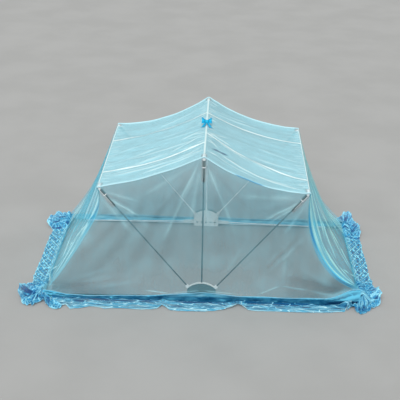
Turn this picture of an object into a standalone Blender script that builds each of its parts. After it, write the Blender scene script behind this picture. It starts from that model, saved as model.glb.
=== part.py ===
"""Folding hood mosquito net for a child's bed, modelled open and standing on the floor.

Five U-shaped frames fan out from a plastic hub at the foot of each long side.
The ridge frame is fixed upright in the hubs. The two frames on each side swing
up beside it, each on its own rivet, so that the net folds into a flat bundle.

Metres, +Z up. X runs along the length, Y from the front hub to the back hub.
The origin is on the floor, in the middle of the net.
"""

import math

import bmesh
import bpy
from mathutils import Matrix, Vector

# Driving dimensions of the frames
REACH = 0.560  # from a hub rivet to the axis of the cross bar
HALF_DEPTH = 0.310  # from the middle to the plane of the rods
PIVOT_STEP = 0.019  # between neighbouring rivets in a hub
PIVOT_HEIGHT = 0.018
UPPER_ANGLE = 51.0  # of the upper side frames, above the floor
FLOOR_BAR_HEIGHT = 0.0060  # axis of the floor bars, with their elbows on the floor
ROD_RADIUS = 0.0022
RIDGE_ROD_RADIUS = 0.0028
PLAY = 0.00035  # between parts that fit in or on one another

# Hub, a pair of plates with the sockets between them
HUB_HALF_WIDTH = 0.053
HUB_SHOULDER = 0.052
HUB_HEIGHT = 0.0745
PLATE_INNER = 0.0044  # from the plane of the rods to a plate
PLATE_OUTER = 0.0068
RIM_WIDTH = 0.0030
RIM_HEIGHT = 0.0008
RAIL_HEIGHT = 0.0095
RAIL_HALF_WIDTH = 0.049
POST_HEIGHT = 0.0355  # of the post that keeps the ridge frame upright
POST_RADIUS = 0.0020

# Rivets
RIVET_RADIUS = 0.0020
RIVET_HOLE = 0.0024
RIVET_HEAD = 0.0034
RIVET_HEAD_START = 0.0071
RIVET_HEAD_END = 0.0083
RIVET_CHAMFER = 0.0006

# Sockets that hold the rods in the hubs
SOCKET_HALF_WIDTH = 0.0065
SOCKET_NOSE_HALF_WIDTH = 0.0052
SOCKET_HALF_THICKNESS = 0.0040
SOCKET_LENGTH = 0.060
SOCKET_CHAMFER = 0.0015
SOCKET_BORE_START = 0.029
ROD_START = 0.0295

# Elbows between a rod and a cross bar
ELBOW_RADIUS = 0.0062
ELBOW_BEND = 0.0072
ELBOW_BAR_RADIUS = 0.0058
ELBOW_BAR_LENGTH = 0.028
ELBOW_WALL = 0.0011
COLLAR_RADIUS = 0.0068
COLLAR_START = 0.032
COLLAR_END = 0.036
SLEEVE_RADIUS = 0.0040
SLEEVE_LENGTH = 0.075
ROD_BORE_END = 0.012
ROD_END = 0.0125
BAR_BORE_END = 0.0100
BAR_END = 0.0105

# Tape casing sewn round each raised cross bar
CASING_RADIUS = 0.0057
CASING_BORE = 0.0026
CASING_END = 0.0285

# Net and lace
NET_THICKNESS = 0.0006
NET_OFFSET = 0.0072  # of the net from the axis of a bar that it passes over
ROOF_OVERHANG = 0.0085
WALL_OFFSET = 0.0105  # of the front and back net from the plane of the rods
WALL_FOLD = 0.004
WALL_FOLDS = 6
WALL_EDGE = 0.94  # how far down the side net's edge the wall reaches
HEM_HEIGHT = 0.030
HEM_FOOT = 0.004
LACE_REACH = 0.394  # front and back edges of the lace, from the middle
LACE_HALF_LENGTH = 0.535
LACE_CLEARANCE = 0.0008
LACE_LIFTS = {-0.131: 0.028, 0.143: 0.040}  # place and half width of the two raised spots
LACE_LIFT_HEIGHT = 0.022
LACE_LIFT_REACH = 0.360
SIDE_LACE_WIDTH = 0.060
CORNER_LACE_WIDTH = 0.092
CORNER_LACE_LIFT = 0.034
CORNER_TURN = 116.0  # how far the side lace turns round a corner, in degrees
CORNER_RUFFLES = 3.0

# Sag of the net below the straight line between its supports
ROOF_SAG = {"front_left": 0.012, "front_right": 0.033, "back_left": 0.031, "back_right": 0.032}
ROOF_SAG_MIDDLE = 0.015
ROOF_FOLD = 0.0025
ROOF_FOLDS = 5
SIDE_SAG = {"front_left": 0.040, "front_right": 0.070, "back_left": 0.025, "back_right": 0.048}
SIDE_SAG_MIDDLE = 0.020
SIDE_FOLD = 0.006
SIDE_FOLDS = 5

# Ribbon bow on the ridge
BOW_DEPTH = 0.003  # place along the ridge
BOW_HALF_WIDTH = 0.0175
BOW_RIBBON_WIDTH = 0.013
BOW_RIBBON_THICKNESS = 0.0012
BOW_KNOT_HALF_WIDTH = 0.0050
BOW_KNOT_HEIGHT = 0.0085
BOW_LOOP_RISE = 25.0  # of the loops, in degrees
BOW_TAIL = ((0.0015, 0.0065), (0.008, 0.0045), (0.0125, 0.0025), (0.0165, 0.0008))

TUBE_SIDES = 12
SMALL_SIDES = 10
FRONT, BACK = -1, 1
LEFT, RIGHT = -1, 1

FLOOR_ANGLE = -math.degrees(math.asin((PIVOT_HEIGHT - FLOOR_BAR_HEIGHT) / REACH))
# Name: (rivet's place along the hub in steps, angle above +X, rod radius)
FRAMES = {
    "left_lower": (-2, 180.0 - FLOOR_ANGLE, ROD_RADIUS),
    "left_upper": (-1, 180.0 - UPPER_ANGLE, ROD_RADIUS),
    "ridge": (0, 90.0, RIDGE_ROD_RADIUS),
    "right_upper": (1, UPPER_ANGLE, ROD_RADIUS),
    "right_lower": (2, FLOOR_ANGLE, ROD_RADIUS),
}


def clear_scene():
    for obj in list(bpy.data.objects):
        bpy.data.objects.remove(obj, do_unlink=True)


def material(name, colour, roughness, metallic=0.0, alpha=1.0):
    made = bpy.data.materials.new(name)
    made.use_nodes = True
    shader = made.node_tree.nodes["Principled BSDF"]
    shader.inputs["Base Color"].default_value = (*colour, 1.0)
    shader.inputs["Roughness"].default_value = roughness
    shader.inputs["Metallic"].default_value = metallic
    shader.inputs["Alpha"].default_value = alpha
    return made


def add_object(name, mesh, finish, parent=None):
    obj = bpy.data.objects.new(name, mesh)
    bpy.context.scene.collection.objects.link(obj)
    mesh.materials.clear()
    mesh.materials.append(finish)
    obj.parent = parent
    return obj


def mesh_from(bm, name, smooth=True):
    bmesh.ops.recalc_face_normals(bm, faces=bm.faces)
    mesh = bpy.data.meshes.new(name)
    bm.to_mesh(mesh)
    bm.free()
    if smooth:
        mesh.shade_smooth()
        mesh.set_sharp_from_angle(angle=math.radians(35))
    return mesh


def evaluated_mesh(obj):
    """The mesh of obj with its modifiers applied; obj and its cutters go."""
    graph = bpy.context.evaluated_depsgraph_get()
    mesh = bpy.data.meshes.new_from_object(obj.evaluated_get(graph))
    helpers = [m.object for m in obj.modifiers if m.type == "BOOLEAN"]
    for helper in [obj, *helpers]:
        bpy.data.objects.remove(helper, do_unlink=True)
    mesh.shade_smooth()
    mesh.set_sharp_from_angle(angle=math.radians(35))
    return mesh


def tube_mesh(name, stations, sides, closed=False):
    """A tube through rings, each (centre, direction, radius), with the centres in the XY plane."""
    bm = bmesh.new()
    rings = []
    for centre, direction, radius in stations:
        along = Vector(direction).normalized()
        across = along.cross(Vector((0, 0, 1)))
        ring = []
        for i in range(sides):
            turn = 2 * math.pi * i / sides
            spoke = across * math.cos(turn) + Vector((0, 0, 1)) * math.sin(turn)
            ring.append(bm.verts.new(Vector(centre) + spoke * radius))
        rings.append(ring)
    pairs = list(zip(rings, rings[1:]))
    if closed:
        pairs.append((rings[-1], rings[0]))
    for first, second in pairs:
        for i in range(sides):
            j = (i + 1) % sides
            bm.faces.new((first[i], first[j], second[j], second[i]))
    if not closed:
        bm.faces.new(rings[0])
        bm.faces.new(rings[-1])
    return mesh_from(bm, name)


def prism_mesh(name, outline, low, high, smooth=False):
    """An outline in the XZ plane, extruded along Y from low to high."""
    bm = bmesh.new()
    face = bm.faces.new([bm.verts.new((x, low, z)) for x, z in outline])
    made = bmesh.ops.extrude_face_region(bm, geom=[face])
    moved = [v for v in made["geom"] if isinstance(v, bmesh.types.BMVert)]
    bmesh.ops.translate(bm, verts=moved, vec=(0, high - low, 0))
    return mesh_from(bm, name, smooth)


def helper_object(mesh):
    obj = bpy.data.objects.new(mesh.name, mesh)
    bpy.context.scene.collection.objects.link(obj)
    obj.hide_render = True
    obj.display_type = "WIRE"
    return obj


def boolean(obj, operation, mesh):
    modifier = obj.modifiers.new(mesh.name, "BOOLEAN")
    modifier.operation = operation
    modifier.object = helper_object(mesh)


def arc(centre, radius, start, end, steps):
    """Points of an arc in the XZ plane, angles in degrees."""
    points = []
    for i in range(steps + 1):
        turn = math.radians(start + (end - start) * i / steps)
        points.append((centre[0] + radius * math.cos(turn), centre[1] + radius * math.sin(turn)))
    return points


def hole_mesh(x, z, radius=RIVET_HOLE, half_length=0.02):
    """A straight cylinder along Y that cuts a hole through a hub part."""
    bm = bmesh.new()
    bmesh.ops.create_cone(
        bm,
        cap_ends=True,
        segments=SMALL_SIDES,
        radius1=radius,
        radius2=radius,
        depth=2 * half_length,
    )
    bmesh.ops.rotate(bm, verts=bm.verts, matrix=Matrix.Rotation(math.radians(90), 3, "X"))
    bmesh.ops.translate(bm, verts=bm.verts, vec=(x, 0, z))
    return mesh_from(bm, "hole")


# Hubs


def hub_outline():
    """A tombstone: straight sides with a shallow arc across the top."""
    rise = HUB_HEIGHT - HUB_SHOULDER
    radius = (HUB_HALF_WIDTH**2 + rise**2) / (2 * rise)
    half_turn = math.degrees(math.asin(HUB_HALF_WIDTH / radius))
    top = arc((0, HUB_HEIGHT - radius), radius, 90 - half_turn, 90 + half_turn, 12)
    return [(-HUB_HALF_WIDTH, 0), (HUB_HALF_WIDTH, 0), *top]


def plate_mesh(name, inner, outer):
    """A hub plate from inner to outer along Y, its outer face sunk inside a raised rim."""
    outward = math.copysign(1, outer - inner)
    bm = bmesh.new()
    face = bm.faces.new([bm.verts.new((x, inner, z)) for x, z in hub_outline()])
    made = bmesh.ops.extrude_face_region(bm, geom=[face])
    moved = [v for v in made["geom"] if isinstance(v, bmesh.types.BMVert)]
    bmesh.ops.translate(bm, verts=moved, vec=(0, outer + RIM_HEIGHT * outward - inner, 0))
    bmesh.ops.recalc_face_normals(bm, faces=bm.faces)
    flat = [f for f in bm.faces if abs(f.normal.y) > 0.9]
    outer_face = max(flat, key=lambda f: f.calc_center_median().y * outward)
    bmesh.ops.inset_region(bm, faces=[outer_face], thickness=RIM_WIDTH)
    bmesh.ops.translate(bm, verts=outer_face.verts[:], vec=(0, -RIM_HEIGHT * outward, 0))
    return mesh_from(bm, name)


def box_outline(half_width, low, high):
    return [(-half_width, low), (half_width, low), (half_width, high), (-half_width, high)]


def hub_plate(name, facing, is_outer):
    """One plate with its rivet holes. The outer one carries the bottom rail and the post."""
    plate = helper_object(plate_mesh(name, facing * PLATE_INNER, facing * PLATE_OUTER))
    if is_outer:
        root = facing * (PLATE_INNER + PLATE_OUTER) / 2
        rail_outline = box_outline(RAIL_HALF_WIDTH, 0.0, RAIL_HEIGHT)
        rail = prism_mesh("rail", rail_outline, root, -facing * (PLATE_INNER - PLAY))
        boolean(plate, "UNION", rail)
        post_outline = arc((0, POST_HEIGHT), POST_RADIUS, 0, 330, 11)
        post = prism_mesh("post", post_outline, root, -facing * (PLATE_OUTER + RIM_HEIGHT))
        boolean(plate, "UNION", post)
    else:
        boolean(plate, "DIFFERENCE", hole_mesh(0, POST_HEIGHT))
    for step in range(-2, 3):
        boolean(plate, "DIFFERENCE", hole_mesh(step * PIVOT_STEP, PIVOT_HEIGHT))
    return evaluated_mesh(plate)


def add_hub(label, side, finish, rivet_finish):
    """Both plates and the five rivets of the hub at the front or the back."""
    hub = bpy.data.objects.new(f"{label}_hub", None)
    bpy.context.scene.collection.objects.link(hub)
    hub.location = (0, side * HALF_DEPTH, 0)
    for part, facing in (("outer", side), ("inner", -side)):
        name = f"{label}_hub_{part}_plate"
        add_object(name, hub_plate(name, facing, part == "outer"), finish, hub)
    for frame_name, (step, _, _) in FRAMES.items():
        add_rivet(f"{label}_{frame_name}_rivet", step * PIVOT_STEP, hub, rivet_finish)


def add_rivet(name, x, hub, finish):
    """A shank along Y between two flat heads, turned about the rivet's own axis."""
    half_profile = (
        (RIVET_HEAD_START, RIVET_RADIUS),
        (RIVET_HEAD_START, RIVET_HEAD),
        (RIVET_HEAD_END - RIVET_CHAMFER, RIVET_HEAD),
        (RIVET_HEAD_END, RIVET_HEAD - RIVET_CHAMFER),
    )
    profile = [*((-y, radius) for y, radius in reversed(half_profile)), *half_profile]
    stations = [((0, y, 0), (0, 1, 0), radius) for y, radius in profile]
    rivet = add_object(name, tube_mesh(name, stations, SMALL_SIDES), finish, hub)
    rivet.location = (x, 0, PIVOT_HEIGHT)


# Frames. In a frame's own axes, X runs from the rivet to the cross bar


def socket_mesh(name, rod_radius, has_post_hole):
    """A flat bar that turns on a rivet at its eye and grips a rod in its nose."""
    outline = [
        *arc((0, 0), SOCKET_HALF_WIDTH, 90, 270, 8),
        (SOCKET_BORE_START, -SOCKET_HALF_WIDTH),
        (SOCKET_LENGTH - SOCKET_CHAMFER, -SOCKET_NOSE_HALF_WIDTH),
        (SOCKET_LENGTH, -SOCKET_NOSE_HALF_WIDTH + SOCKET_CHAMFER),
        (SOCKET_LENGTH, SOCKET_NOSE_HALF_WIDTH - SOCKET_CHAMFER),
        (SOCKET_LENGTH - SOCKET_CHAMFER, SOCKET_NOSE_HALF_WIDTH),
        (SOCKET_BORE_START, SOCKET_HALF_WIDTH),
    ]
    body = helper_object(prism_mesh(name, outline, -SOCKET_HALF_THICKNESS, SOCKET_HALF_THICKNESS))
    boolean(body, "DIFFERENCE", hole_mesh(0, 0))
    if has_post_hole:
        boolean(body, "DIFFERENCE", hole_mesh(POST_HEIGHT - PIVOT_HEIGHT, 0))
    bore_ends = (SOCKET_BORE_START, SOCKET_LENGTH + 0.01)
    bore = [((x, 0, 0), (1, 0, 0), rod_radius + PLAY) for x in bore_ends]
    boolean(body, "DIFFERENCE", tube_mesh("bore", bore, TUBE_SIDES))
    return evaluated_mesh(body)


def elbow_mesh(name, side, rod_radius):
    """The corner at one end of a cross bar, bored for the rod and for the bar."""
    inward = -side
    plane = side * HALF_DEPTH
    rod_bore = rod_radius + PLAY
    sleeve = max(SLEEVE_RADIUS, rod_bore + ELBOW_WALL)

    def on_rod(distance, radius):
        return ((REACH - distance, plane, 0), (1, 0, 0), radius)

    def on_bar(distance, radius):
        return ((REACH, plane + inward * distance, 0), (0, inward, 0), radius)

    stations = [
        on_rod(ROD_BORE_END, rod_bore),
        on_rod(SLEEVE_LENGTH, rod_bore),
        on_rod(SLEEVE_LENGTH, sleeve),
        on_rod(COLLAR_END, sleeve),
        on_rod(COLLAR_END, COLLAR_RADIUS),
        on_rod(COLLAR_START, COLLAR_RADIUS),
        on_rod(COLLAR_START, ELBOW_RADIUS),
    ]
    bend_steps = 4
    for i in range(bend_steps + 1):
        turn = math.radians(90 * i / bend_steps)
        centre = (
            REACH - ELBOW_BEND + ELBOW_BEND * math.sin(turn),
            plane + inward * (ELBOW_BEND - ELBOW_BEND * math.cos(turn)),
            0,
        )
        stations.append((centre, (math.cos(turn), inward * math.sin(turn), 0), ELBOW_RADIUS))
    bar_bore = ROD_RADIUS + PLAY
    stations += [
        on_bar(ELBOW_BAR_LENGTH, ELBOW_BAR_RADIUS),
        on_bar(ELBOW_BAR_LENGTH, bar_bore),
        on_bar(BAR_BORE_END, bar_bore),
    ]
    return tube_mesh(name, stations, SMALL_SIDES)


def add_frame(name, finishes):
    """One U-shaped frame with its cross bar and, on a raised bar, the casing."""
    step, angle, rod_radius = FRAMES[name]
    pivot = bpy.data.objects.new(f"{name}_frame", None)
    bpy.context.scene.collection.objects.link(pivot)
    pivot.location = (step * PIVOT_STEP, 0, PIVOT_HEIGHT)
    pivot.rotation_euler = (0, -math.radians(angle), 0)
    socket = socket_mesh(f"{name}_socket", rod_radius, name == "ridge")
    rod_ends = [((x, 0, 0), (1, 0, 0), rod_radius) for x in (ROD_START, REACH - ROD_END)]
    rod = tube_mesh(f"{name}_rod", rod_ends, TUBE_SIDES)
    for label, side in (("front", FRONT), ("back", BACK)):
        for part, mesh, finish in (("socket", socket, "plastic"), ("rod", rod, "steel")):
            piece = add_object(f"{name}_{label}_{part}", mesh, finishes[finish], pivot)
            piece.location = (0, side * HALF_DEPTH, 0)
        elbow = elbow_mesh(f"{name}_{label}_elbow", side, rod_radius)
        add_object(f"{name}_{label}_elbow", elbow, finishes["plastic"], pivot)
    half_bar = HALF_DEPTH - BAR_END
    bar = [((REACH, y, 0), (0, 1, 0), ROD_RADIUS) for y in (-half_bar, half_bar)]
    bar_mesh = tube_mesh(f"{name}_cross_bar", bar, TUBE_SIDES)
    add_object(f"{name}_cross_bar", bar_mesh, finishes["steel"], pivot)
    if name.endswith("lower"):
        return
    half_casing = HALF_DEPTH - CASING_END
    rings = (
        (half_casing, CASING_RADIUS),
        (half_casing, CASING_BORE),
        (-half_casing, CASING_BORE),
        (-half_casing, CASING_RADIUS),
    )
    casing = [((REACH, y, 0), (0, 1, 0), radius) for y, radius in rings]
    mesh = tube_mesh(f"{name}_casing", casing, TUBE_SIDES, closed=True)
    add_object(f"{name}_casing", mesh, finishes["tape"], pivot)


# Net and lace


def lerp(a, b, t):
    return a + (b - a) * t


def smooth_step(t):
    t = min(max(t, 0.0), 1.0)
    return t * t * (3 - 2 * t)


def bar_axis(name):
    """(x, z) of a frame's cross bar."""
    step, angle, _ = FRAMES[name]
    turn = math.radians(angle)
    return step * PIVOT_STEP + REACH * math.cos(turn), PIVOT_HEIGHT + REACH * math.sin(turn)


def even_steps(count):
    return [i / count for i in range(count + 1)]


def add_cloth(name, point, columns, rows, finish, frame=None):
    """A sheet through point(u, v), closed to the net's thickness. It hangs from frame if one is named."""
    bm = bmesh.new()
    grid = [[bm.verts.new(point(u, v)) for v in rows] for u in columns]
    for near, far in zip(grid, grid[1:]):
        for j in range(len(rows) - 1):
            bm.faces.new((near[j], far[j], far[j + 1], near[j + 1]))
    cloth = add_object(name, mesh_from(bm, name), finish)
    thickness = cloth.modifiers.new("thickness", "SOLIDIFY")
    thickness.thickness = NET_THICKNESS
    thickness.offset = 0
    if frame:
        bpy.context.view_layer.update()
        cloth.parent = bpy.data.objects[f"{frame}_frame"]
        cloth.matrix_parent_inverse = cloth.parent.matrix_world.inverted()


def corner_value(table, middle, side, y):
    """A value that the table gives at the front and back corners of one side, and middle halfway."""
    label = "left" if side == LEFT else "right"
    t = y / HALF_DEPTH
    end = table[f"back_{label}"] if t > 0 else table[f"front_{label}"]
    return lerp(middle, end, smooth_step(abs(t)))


def roof_section(side, y, panel_steps=6):
    """(x, z) points of the roof from the ridge's crown to its edge over one side bar, at depth y."""
    bar_x, bar_z = bar_axis("right_upper")
    ridge_z = bar_axis("ridge")[1]
    crown = arc((0, ridge_z), NET_OFFSET, 90, 60, 2)
    edge = arc((bar_x, bar_z), NET_OFFSET, 85, 45, 2)
    start, end = crown[-1], edge[0]
    sag = corner_value(ROOF_SAG, ROOF_SAG_MIDDLE, side, y)
    wave = ROOF_FOLD * math.sin(2 * math.pi * ROOF_FOLDS * y / (2 * HALF_DEPTH) + side)
    panel = []
    for i in range(1, panel_steps):
        t = i / panel_steps
        bow = 4 * t * (1 - t)
        panel.append((lerp(start[0], end[0], t), lerp(start[1], end[1], t) - (sag + wave) * bow))
    return [(side * x, z) for x, z in [*crown, *panel, *edge]]


def add_roof(finish):
    half = len(roof_section(LEFT, 0)) - 1

    def point(u, v):
        y = lerp(-1, 1, u) * (HALF_DEPTH + ROOF_OVERHANG)
        i = round(v * 2 * half)
        section = roof_section(LEFT if i < half else RIGHT, y)
        x, z = section[abs(i - half)]
        return x, y, z

    add_cloth("roof_net", point, even_steps(18), even_steps(2 * half), finish)


def side_edge(side, y, t):
    """(x, z) of the hanging side net at depth y, from its top, t = 0, to the floor bar, t = 1."""
    top = Vector(arc(bar_axis("right_upper"), NET_OFFSET, 22, 22, 1)[0])
    low = Vector(bar_axis("right_lower")) + Vector((0, NET_OFFSET + 0.0015))
    chord = low - top
    inward = Vector((chord.y, -chord.x)).normalized()
    sag = corner_value(SIDE_SAG, SIDE_SAG_MIDDLE, side, y)
    spot = top.lerp(low, t) + inward * (sag * math.sin(math.pi * t**1.15))
    return side * spot.x, spot.y


def add_side(name, side, finish, frame):
    def point(u, v):
        y = lerp(-1, 1, u) * (HALF_DEPTH + ROOF_OVERHANG)
        x, z = side_edge(side, y, v)
        fade = math.sin(math.pi * v) * math.sin(math.pi * u)
        fold = SIDE_FOLD * math.sin(2 * math.pi * SIDE_FOLDS * u + side) * fade
        return x + side * fold, y, z

    add_cloth(name, point, even_steps(20), even_steps(7), finish, frame)


def roof_height(x, y):
    """Height of the roof above x, read from its section at depth y."""
    section = roof_section(LEFT if x < 0 else RIGHT, y)
    for (x0, z0), (x1, z1) in zip(section, section[1:]):
        if abs(x) <= abs(x1):
            return lerp(z0, z1, max(abs(x) - abs(x0), 0) / (abs(x1) - abs(x0)))
    return section[-1][1]


def wall_columns(facing):
    """Even columns, with closer ones at the two raised spots of the front lace."""
    columns = even_steps(24)
    if facing == BACK:
        return columns
    for centre, half_width in LACE_LIFTS.items():
        spots = [centre + half_width * offset for offset in (-1, -0.5, 0, 0.5, 1)]
        spots = [(spot / LACE_HALF_LENGTH + 1) / 2 for spot in spots]
        columns = [u for u in columns if not spots[0] - 0.012 < u < spots[-1] + 0.012]
        columns += spots
    return sorted(columns)


def lace_lift(x, facing):
    """How far the lace's edge is raised at x, from 0 to 1."""
    if facing == BACK:
        return 0.0
    return max(smooth_step(1 - abs(x - centre) / half) for centre, half in LACE_LIFTS.items())


def add_wall(name, facing, finish):
    """The front or back net with its hem and the lace that lies on the floor before it."""
    wall_rows, lace_rows = 6, 3
    rows = wall_rows + 1 + lace_rows
    edge_y = facing * (HALF_DEPTH + ROOF_OVERHANG)
    plane = HALF_DEPTH + WALL_OFFSET

    def hanging(across, t):
        side = LEFT if across < 0 else RIGHT
        top_x, top_z = side_edge(side, edge_y, 0)
        edge_x, edge_z = side_edge(side, edge_y, t * WALL_EDGE)
        foot_z = side_edge(side, edge_y, WALL_EDGE)[1]
        drop = (top_z - edge_z) / (top_z - foot_z)
        z = lerp(roof_height(across * abs(top_x), edge_y), HEM_HEIGHT, drop)
        wave = 1 - math.cos(2 * math.pi * WALL_FOLDS * across * (1 - 0.4 * t))
        fold = WALL_FOLD * wave * math.sin(math.pi * t) * (1 - across**6)
        return across * abs(edge_x), facing * (plane + fold), z

    def lying(across, out):
        x = across * LACE_HALF_LENGTH
        raised = lace_lift(x, facing)
        edge = LACE_REACH - 0.006 + 0.006 * math.sin(9 * across + 1)
        edge = lerp(edge, LACE_LIFT_REACH, raised)
        wave = 0.00175 * (1 + math.sin(14 * math.pi * across + facing)) * (1 - abs(2 * out - 1))
        z = LACE_CLEARANCE + 0.001 + wave + LACE_LIFT_HEIGHT * raised * out
        return x, facing * lerp(plane + 0.004, edge, out), z

    def point(u, v):
        across = lerp(-1, 1, u)
        row = round(v * rows)
        if row <= wall_rows:
            return hanging(across, row / wall_rows)
        if row == wall_rows + 1:
            x = lerp(hanging(across, 1)[0], across * LACE_HALF_LENGTH, 0.6)
            return x, facing * (plane + 0.0015), HEM_FOOT
        return lying(across, (row - wall_rows - 1) / lace_rows)

    add_cloth(name, point, wall_columns(facing), even_steps(rows), finish)


def add_side_lace(name, side, finish, frame):
    """The lace along one floor bar, gathered into ruffles round the elbow at each end."""
    straight_columns, corner_columns, lace_rows = 18, 12, 3
    columns = straight_columns + 2 * corner_columns
    bar_x, bar_z = bar_axis("right_lower")
    over_bar = arc((0, bar_z), NET_OFFSET, 80, 0, 3)
    rows = len(over_bar) - 1 + lace_rows
    start = NET_OFFSET + 0.003

    def point(u, v):
        column = round(u * columns) - corner_columns
        row = round(v * rows)
        past = max(-column, column - straight_columns, 0) / corner_columns
        end = FRONT if column < 0 else BACK
        y = lerp(-HALF_DEPTH, HALF_DEPTH, min(max(column / straight_columns, 0), 1))
        turn = math.radians(CORNER_TURN * past)
        if row < len(over_bar):
            distance, z = over_bar[row]
        else:
            out = (row - len(over_bar) + 1) / lace_rows
            gathered = smooth_step((abs(y) - 0.21) / 0.10)
            width = lerp(SIDE_LACE_WIDTH, CORNER_LACE_WIDTH, gathered)
            ruffle = 0.5 + 0.5 * math.sin(2 * math.pi * CORNER_RUFFLES * past + 40 * abs(y) + 1.2)
            lift = lerp(0.004, CORNER_LACE_LIFT, gathered) * ruffle
            distance = lerp(start, width, out)
            z = LACE_CLEARANCE + lift * math.sin(math.pi * 0.62 * out)
        x = bar_x + distance * math.cos(turn)
        return side * x, y + end * distance * math.sin(turn), z

    add_cloth(name, point, even_steps(columns), even_steps(rows), finish, frame)


# Ribbon bow


def ribbon_mesh(name, path, width, thickness):
    """A flat ribbon through the points of path in the XZ plane, its width along Y."""
    outline = []
    count = len(path)
    for sign in (1, -1):
        order = range(count) if sign == 1 else range(count - 1, -1, -1)
        for i in order:
            before = Vector(path[max(i - 1, 0)])
            after = Vector(path[min(i + 1, count - 1)])
            along = (after - before).normalized()
            normal = Vector((-along.y, along.x))
            spot = Vector(path[i]) + normal * (sign * thickness / 2)
            outline.append((spot.x, spot.y))
    return prism_mesh(name, outline, -width / 2, width / 2)


def bow_loop(side):
    """A loop that leaves the knot above its middle and comes back below it."""
    steps = 14
    points = []
    for i in range(steps + 1):
        turn = math.pi * i / steps
        out = 0.001 + (BOW_HALF_WIDTH - 0.001) * math.sin(turn) ** 0.8
        up = 0.002 * math.cos(turn) + 0.0050 * math.sin(2 * turn)
        spot = Matrix.Rotation(math.radians(BOW_LOOP_RISE), 2) @ Vector((out, up))
        points.append((side * spot.x, BOW_KNOT_HEIGHT + spot.y))
    return points


def add_bow(finish):
    knot = bmesh.new()
    bmesh.ops.create_uvsphere(knot, u_segments=12, v_segments=7, radius=1.0)
    size = (BOW_KNOT_HALF_WIDTH, BOW_RIBBON_WIDTH * 0.42, BOW_KNOT_HEIGHT - 0.0005)
    bmesh.ops.scale(knot, verts=knot.verts, vec=size)
    bmesh.ops.translate(knot, verts=knot.verts, vec=(0, 0, BOW_KNOT_HEIGHT))
    body = helper_object(mesh_from(knot, "ribbon_bow"))
    for side in (LEFT, RIGHT):
        loop = ribbon_mesh("loop", bow_loop(side), BOW_RIBBON_WIDTH, BOW_RIBBON_THICKNESS)
        boolean(body, "UNION", loop)
        tail_path = [(side * x, z) for x, z in BOW_TAIL]
        tail = ribbon_mesh("tail", tail_path, BOW_RIBBON_WIDTH * 0.8, BOW_RIBBON_THICKNESS)
        boolean(body, "UNION", tail)
    bow = add_object("ribbon_bow", evaluated_mesh(body), finish)
    net_top = bar_axis("ridge")[1] + NET_OFFSET + NET_THICKNESS / 2
    bow.location = (0, BOW_DEPTH, net_top + PLAY)


def main():
    clear_scene()
    finishes = {
        "plastic": material("white_plastic", (0.78, 0.80, 0.78), 0.42),
        "hub": material("grey_plastic", (0.62, 0.66, 0.64), 0.48),
        "steel": material("grey_steel", (0.42, 0.44, 0.44), 0.38, 0.85),
        "rivet": material("rivet_steel", (0.35, 0.36, 0.36), 0.35, 0.9),
        "tape": material("pale_tape", (0.72, 0.92, 0.96), 0.8),
        "net": material("blue_net", (0.36, 0.72, 0.86), 0.9, alpha=0.45),
        "lace": material("blue_lace", (0.12, 0.48, 0.74), 0.85),
        "ribbon": material("blue_ribbon", (0.03, 0.50, 0.78), 0.45),
    }
    add_hub("front", FRONT, finishes["hub"], finishes["rivet"])
    add_hub("back", BACK, finishes["hub"], finishes["rivet"])
    for name in FRAMES:
        add_frame(name, finishes)
    add_roof(finishes["net"])
    add_side("left_side_net", LEFT, finishes["net"], "left_lower")
    add_side("right_side_net", RIGHT, finishes["net"], "right_lower")
    add_wall("front_net", FRONT, finishes["net"])
    add_wall("back_net", BACK, finishes["net"])
    add_side_lace("left_lace", LEFT, finishes["lace"], "left_lower")
    add_side_lace("right_lace", RIGHT, finishes["lace"], "right_lower")
    add_bow(finishes["ribbon"])


main()
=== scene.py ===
"""Looks of the folding mosquito net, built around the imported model.

The frames, hubs and rivets are the model's own solids with finer materials. The nets, hems, laces,
casings and bow are sheets made here. The nets bend between the frames as these fold up.
Metres, +Z up. X runs along the length and Y from the front hub to the back hub.
"""

import math

import bpy
import numpy as np
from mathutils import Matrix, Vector


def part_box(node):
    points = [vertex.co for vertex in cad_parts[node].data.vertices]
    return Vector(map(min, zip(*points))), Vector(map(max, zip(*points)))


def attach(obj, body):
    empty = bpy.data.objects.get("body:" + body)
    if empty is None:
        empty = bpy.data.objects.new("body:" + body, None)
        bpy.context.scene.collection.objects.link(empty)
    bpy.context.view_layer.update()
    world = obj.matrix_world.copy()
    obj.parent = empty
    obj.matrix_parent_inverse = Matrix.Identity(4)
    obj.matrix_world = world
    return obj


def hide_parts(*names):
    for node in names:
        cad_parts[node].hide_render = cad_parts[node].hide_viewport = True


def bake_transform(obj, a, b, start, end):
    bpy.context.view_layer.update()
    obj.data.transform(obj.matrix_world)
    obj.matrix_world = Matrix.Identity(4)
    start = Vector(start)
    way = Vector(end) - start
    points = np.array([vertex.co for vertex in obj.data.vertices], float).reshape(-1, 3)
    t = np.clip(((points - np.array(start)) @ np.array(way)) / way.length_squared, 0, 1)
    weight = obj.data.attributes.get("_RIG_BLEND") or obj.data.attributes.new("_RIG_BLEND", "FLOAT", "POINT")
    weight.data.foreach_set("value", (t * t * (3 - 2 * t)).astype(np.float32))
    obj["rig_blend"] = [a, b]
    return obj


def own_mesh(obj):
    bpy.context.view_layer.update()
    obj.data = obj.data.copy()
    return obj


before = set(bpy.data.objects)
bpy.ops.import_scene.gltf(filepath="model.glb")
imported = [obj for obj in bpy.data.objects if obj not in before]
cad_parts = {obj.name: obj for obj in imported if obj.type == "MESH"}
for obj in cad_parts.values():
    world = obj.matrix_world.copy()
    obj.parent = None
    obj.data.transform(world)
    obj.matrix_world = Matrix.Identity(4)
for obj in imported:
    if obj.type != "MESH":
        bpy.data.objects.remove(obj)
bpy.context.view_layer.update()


def centre_of(node):
    low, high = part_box(node)
    return (low + high) / 2


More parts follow.
